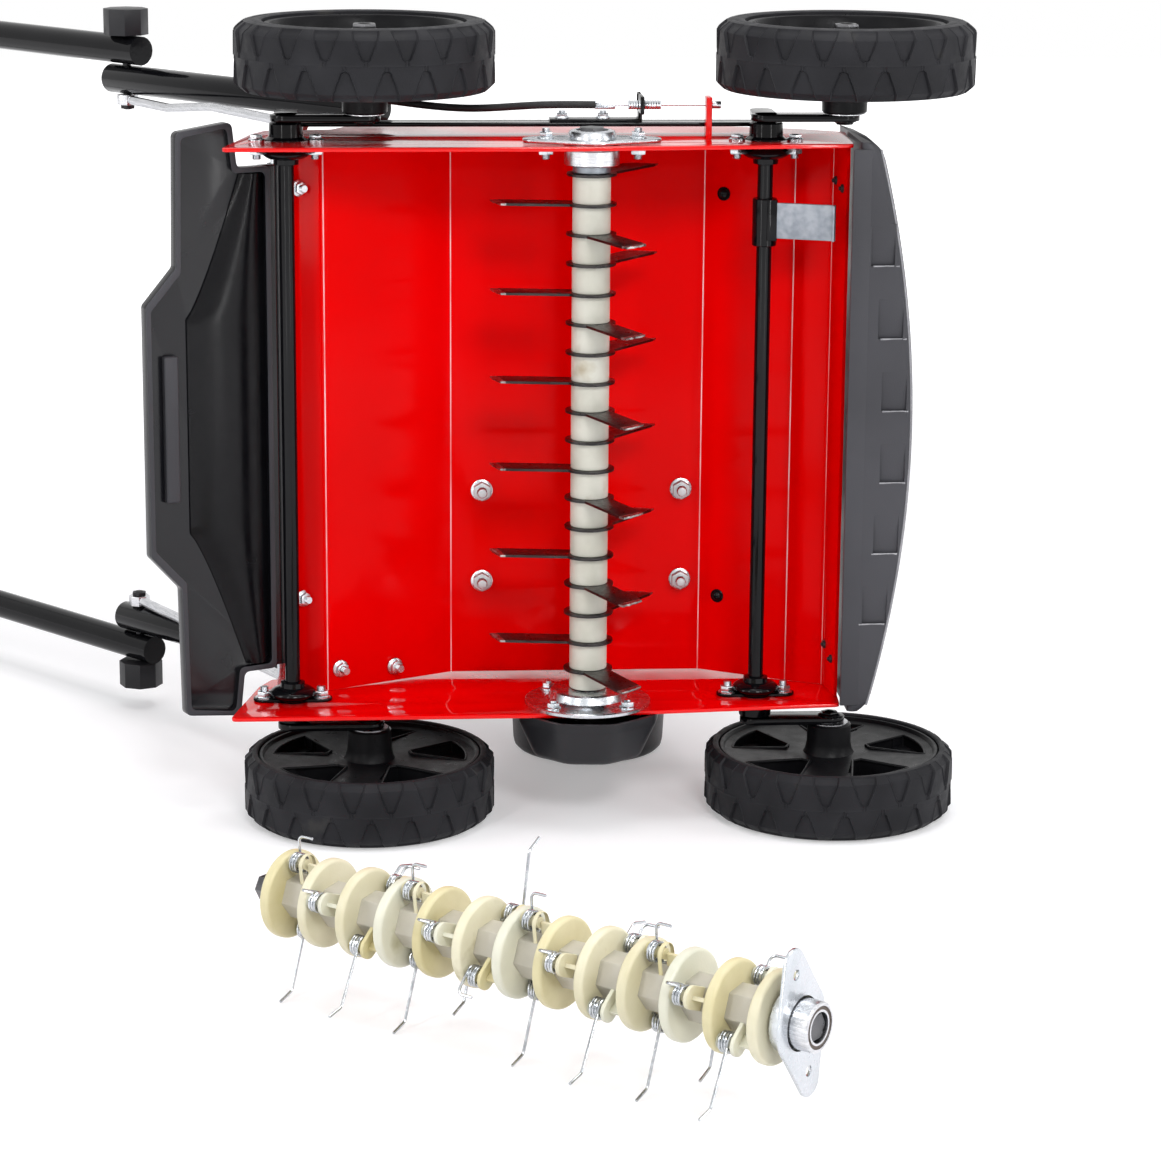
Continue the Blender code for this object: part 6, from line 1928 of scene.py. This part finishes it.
@dataclass
class BeltDrive:
    """The belt, its pulleys and tensioner under their moulded cover."""

    wall: float = 0.003
    shoulder: float = 0.0552
    land: float = 0.064
    drum_end: float = 0.05
    crank_end: float = 0.0668

    def loop(self, low: float, high: float, steps: int = 40) -> Outline:
        """The cover's line: half of a rounded octagon at the drum and a circle about the crankshaft."""
        dx, dy = CRANK_X, CRANK_Y - DRUM_Y
        lean = degrees(atan2(dy, dx))
        spread = degrees(acos((low - high) / hypot(dx, dy)))
        span, sharp = 360 - 2 * spread, 24
        flats = [span * k / 4 for k in range(5)]
        end = []
        for k in range(steps + 1):
            turn = span * k / steps
            pull = sum(max(0.0, cos(radians(turn - flat))) ** sharp for flat in flats) ** (1 / sharp)
            angle = radians(lean + spread + turn)
            end.append((low / pull * cos(angle), DRUM_Y + low / pull * sin(angle)))
        return Lines.arc(CRANK_X, CRANK_Y, high, lean - spread, lean + spread, steps) + end

    def shell(self, wall: float) -> Mesh:
        """The cover's body, its shoulder rounded, or its hollow where wall is its thickness."""
        foot = PLATE_L - SEAT + (0.002 if wall else 0.0)
        sections = []
        for z, grow in ((foot, 0.0066), (foot - 0.006, 0.0064), (0.084, 0.0056), (0.06, -0.0048),
                        (0.058, -0.0058), (0.0566, -0.007), (self.shoulder + 0.0003, -0.0092),
                        (self.shoulder, -0.012)):
            low, high = self.drum_end + grow - wall, self.crank_end + grow * 0.5 - wall
            sections.append((self.loop(low, high), z + (wall if z < foot else 0.0)))
        return Forms.loft(sections)

    def cover(self) -> Piece:
        """The moulded cover: its body, the round dome that it stands on and its screws."""
        dome = [
            (0.0, 0.0), (self.land - 0.008, 0.0), (self.land - 0.0036, 0.001), (self.land - 0.001, 0.0036),
            (self.land, 0.008), (0.0664, 0.056), (0.0664, 0.0612), (0.0, 0.0612)]
        hollow = [
            (0.0, self.wall), (self.land - self.wall - 0.002, self.wall), (self.land - self.wall, 0.008),
            (0.0634, 0.07), (0.0, 0.07)]
        piece = Piece("belt_hood", Finishes.PLASTIC)
        bulge = Forms.turned(dome, CRANK_X, CRANK_Y, 96)
        inside = Forms.turned(hollow, CRANK_X, CRANK_Y, 96)
        piece.add(Forms.carved(self.shell(0.0), [self.shell(self.wall), inside]))
        piece.add(Forms.carved(bulge, [inside, self.shell(self.wall)]))
        for k in range(3):
            ring = self.land - 0.014 - 0.012 * k
            lip = [(ring, 0.0), (ring + 0.0012, 0.0), (ring + 0.0012, 0.0002), (ring, 0.0002)]
            piece.add(Forms.turned(lip, CRANK_X, CRANK_Y, 72))
        for x, y in ((-0.04, 0.16), (0.05, 0.16)):
            piece.take(Hardware.screw((x, y, self.shoulder + 0.0004), (0, 0, -1), 0.0042), Finishes.ZINC)
        return piece

    def build(self) -> None:
        """Build the drive's pieces."""
        self.cover().place("belt_cover")
        Refined("drive_belt", Finishes.RUBBER, 0.001).place("vee_belt")
        Refined("drum_pulley", Finishes.STEEL, 0.0005).place("pulley_low")
        Refined("engine_pulley", Finishes.STEEL, 0.0005).place("pulley_high")
        Refined("belt_tensioner", Finishes.STEEL, 0.0006).place("idler_arm")


@dataclass
class Handlebar:
    """The folding handlebar with its stays, clamp knobs, bail, grip and height lever."""

    tube: float = 0.0125
    foot: Point2 = (-0.16, 0.197)
    joint: Point2 = (-0.372, 0.425)
    length: float = 0.72
    angle: float = 131.0
    bend: float = 0.08

    def along(self, distance: float, lift: float = 0.0) -> Point2:
        """A point along the upper bar from its joint, lifted towards the operator."""
        a = radians(self.angle)
        x, y = self.joint
        return (x + distance * cos(a) + lift * sin(a), y + distance * sin(a) - lift * cos(a))

    def lower(self) -> None:
        """The two lower tubes with their nuts, and a pivot on the right one."""
        for side, z in ((Side.LEFT, PLATE_L - SEAT - self.tube), (Side.RIGHT, PLATE_R + SEAT + self.tube)):
            foot, joint = Vector((*self.foot, z)), Vector((*self.joint, z))
            along = (joint - foot).normalized()
            piece = Piece(f"lower_tube_{side.value}", Finishes.BLACK)
            piece.add(Forms.rod(foot, joint + along * 0.02, self.tube - 0.0002, 40, edge=0.001))
            out = side.outward
            for distance in (0.018, 0.06):
                spot = foot + along * distance
                piece.take(
                    Nut.TUBE.at((spot.x, spot.y, z + out * (self.tube - 0.0012)), (0, 0, out)), Finishes.ZINC)
            if side is Side.RIGHT:
                low, high = z + self.tube - 0.002, z + self.tube + 0.01
                pivot = Forms.rod((-0.258, 0.302, low), (-0.258, 0.302, high), 0.005, 28, edge=0.0006)
                piece.add(pivot, Finishes.ZINC)
            piece.place(f"lower_bar_{side.value}")

    def upper(self) -> Piece:
        """The bar bent round into the grip, with the bail's pivots."""
        left, right = PLATE_L - 0.0006 - 3 * self.tube, PLATE_R + 0.0006 + 3 * self.tube
        corners = [
            (*self.along(-0.02), left), (*self.along(self.length), left), (*self.along(self.length), right),
            (*self.along(-0.02), right)]
        piece = Piece("upper_bar", Finishes.BLACK, "handlebar")
        piece.add(Forms.tube(Lines.bent(corners, self.bend, 16), self.tube - 0.0002, 8))
        for z, out in ((left, 1.0), (right, -1.0)):
            x, y = self.along(0.575)
            piece.add(
                Forms.rod((x, y, z), (x, y, z + out * (self.tube + 0.012)), 0.004, 24, edge=0.0005),
                Finishes.ZINC)
        return piece

    def build(self) -> None:
        """Build the handlebar's pieces."""
        self.lower()
        self.upper().place("upper_handlebar")
        for side in Side:
            Refined(f"brace_{side.value}", Finishes.CHROME, 0.0006).place(f"stay_{side.value}")
            Refined(f"knob_{side.value}", Finishes.PLASTIC, 0.0016).place(f"clamp_knob_{side.value}")
        Refined("drive_bail", Finishes.BLACK, 0.0005).place("bail_wire")
        Refined("depth_lever", Finishes.STEEL, 0.0008).place("height_lever_arm")


class Studio:
    """The white floor, the lamps and the camera of the photograph."""

    camera_place = (-0.218, -2.9016, 0.8684)
    yaw = 0.0725
    pitch = 0.2438
    roll = 0.0075
    lens = 109.43

    def camera(self) -> None:
        """Set up the camera that took the photograph."""
        data = bpy.data.cameras.new("photo_camera")
        data.lens = self.lens
        data.sensor_width = 36.0
        data.clip_end = 50.0
        obj = Forms.linked("photo_camera", data)
        forward = Vector((sin(self.yaw) * cos(self.pitch), cos(self.yaw) * cos(self.pitch), -sin(self.pitch)))
        turn = forward.to_track_quat("-Z", "Y") @ Matrix.Rotation(self.roll, 3, "Z").to_quaternion()
        obj.location = self.camera_place
        obj.rotation_mode = "QUATERNION"
        obj.rotation_quaternion = turn
        bpy.context.scene.camera = obj

    def floor(self) -> None:
        """A white sweep that keeps the shadows and is pure white where nothing shades it."""
        bm = bmesh.new()
        bmesh.ops.create_grid(bm, x_segments=1, y_segments=1, size=6.0)
        mesh = bpy.data.meshes.new("floor")
        bm.to_mesh(mesh)
        bm.free()
        box = Paintbox("white_floor")
        box.feed(
            box.shader, {"Base Color": (0.78, 0.78, 0.8, 1.0), "Roughness": 0.9, "Specular IOR Level": 0.0})
        away = box.node("ShaderNodeVectorMath", {0: box.place}, "LENGTH").outputs["Value"]
        glow = box.remap(away, (0.9, 2.4), (0.3, 1.0))
        strength = box.node("ShaderNodeMath", {0: glow, 1: box.seen()}, "MULTIPLY").outputs[0]
        emission = box.node("ShaderNodeEmission", {"Strength": strength}).outputs["Emission"]
        total = box.node("ShaderNodeAddShader", {0: box.shader.outputs["BSDF"], 1: emission})
        box.feed(box.tree.nodes["Material Output"], {"Surface": total.outputs["Shader"]})
        mesh.materials.append(box.material)
        Forms.linked("floor", mesh)

    def world(self) -> None:
        """The studio round the machine: white beyond it, dimmer on the side of the photographer."""
        world = bpy.data.worlds.new("studio")
        world.use_nodes = True
        box = Wiring(world.node_tree)
        white = (1.0, 1.0, 1.0, 1.0)
        way = box.node("ShaderNodeTexCoord", {}).outputs["Generated"]
        back = box.node("ShaderNodeSeparateXYZ", {"Vector": way}).outputs["Y"]
        room = box.tree.nodes["Background"]
        box.feed(room, {"Color": white, "Strength": box.remap(back, (-0.7, 0.5), (0.16, 0.85))})
        beyond = box.node("ShaderNodeBackground", {"Color": white, "Strength": 1.0})
        shades = {1: room.outputs["Background"], 2: beyond.outputs["Background"]}
        mix = box.node("ShaderNodeMixShader", {"Fac": box.seen(), **shades})
        box.feed(box.tree.nodes["World Output"], {"Surface": mix.outputs["Shader"]})
        bpy.context.scene.world = world

    def lamp(self, name: str, place: Floats, aim: Floats, size: Point2, power: float) -> None:
        """Add a soft rectangular lamp.

        Args:
            name: Its name.
            place: Where it hangs.
            aim: The point that it faces.
            size: Its width and height.
            power: Its power in watts.
        """
        data = bpy.data.lights.new(name, "AREA")
        data.shape = "RECTANGLE"
        data.size, data.size_y = size
        data.energy = power
        obj = Forms.linked(name, data)
        obj.location = place
        obj.rotation_mode = "QUATERNION"
        obj.rotation_quaternion = (Vector(aim) - Vector(place)).to_track_quat("-Z", "Y")

    def build(self) -> None:
        """Set up the stage."""
        self.camera()
        self.floor()
        self.world()
        self.lamp("overhead", (0.1, -0.3, 2.6), (0.0, -0.1, 0.2), (1.4, 1.4), 26)
        self.lamp("front_key", (0.5, -3.3, 2.3), (0.0, -0.1, 0.3), (0.9, 0.7), 46)
        self.lamp("left_strip", (-0.86, -1.42, 0.8), (0.0, 0.0, 0.35), (0.05, 1.5), 4)
        self.lamp("right_strip", (0.74, -1.42, 0.8), (0.0, 0.0, 0.35), (0.05, 1.5), 4)
        self.lamp("left_box", (-2.2, -1.0, 1.2), (0.0, -0.1, 0.3), (0.5, 1.4), 12)
        self.lamp("right_box", (2.2, -1.0, 1.2), (0.0, -0.1, 0.3), (0.5, 1.4), 12)
        scene = bpy.context.scene
        scene.view_settings.view_transform = "Standard"


def main() -> None:
    """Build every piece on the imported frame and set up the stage."""
    logging.basicConfig(level=logging.INFO, format="%(message)s")
    Studio().build()
    Deck().build()
    Bumper().build()
    Flap().build()
    for end in End:
        Axle(end).build()
        for side in Side:
            RoadWheel(end, side).build()
    KnifeDrum().build()
    DrumMounts().build()
    HeightGear().build()
    SpareDrum().build()
    Engine().build()
    BeltDrive().build()
    Handlebar().build()


if __name__ == "__main__":
    main()
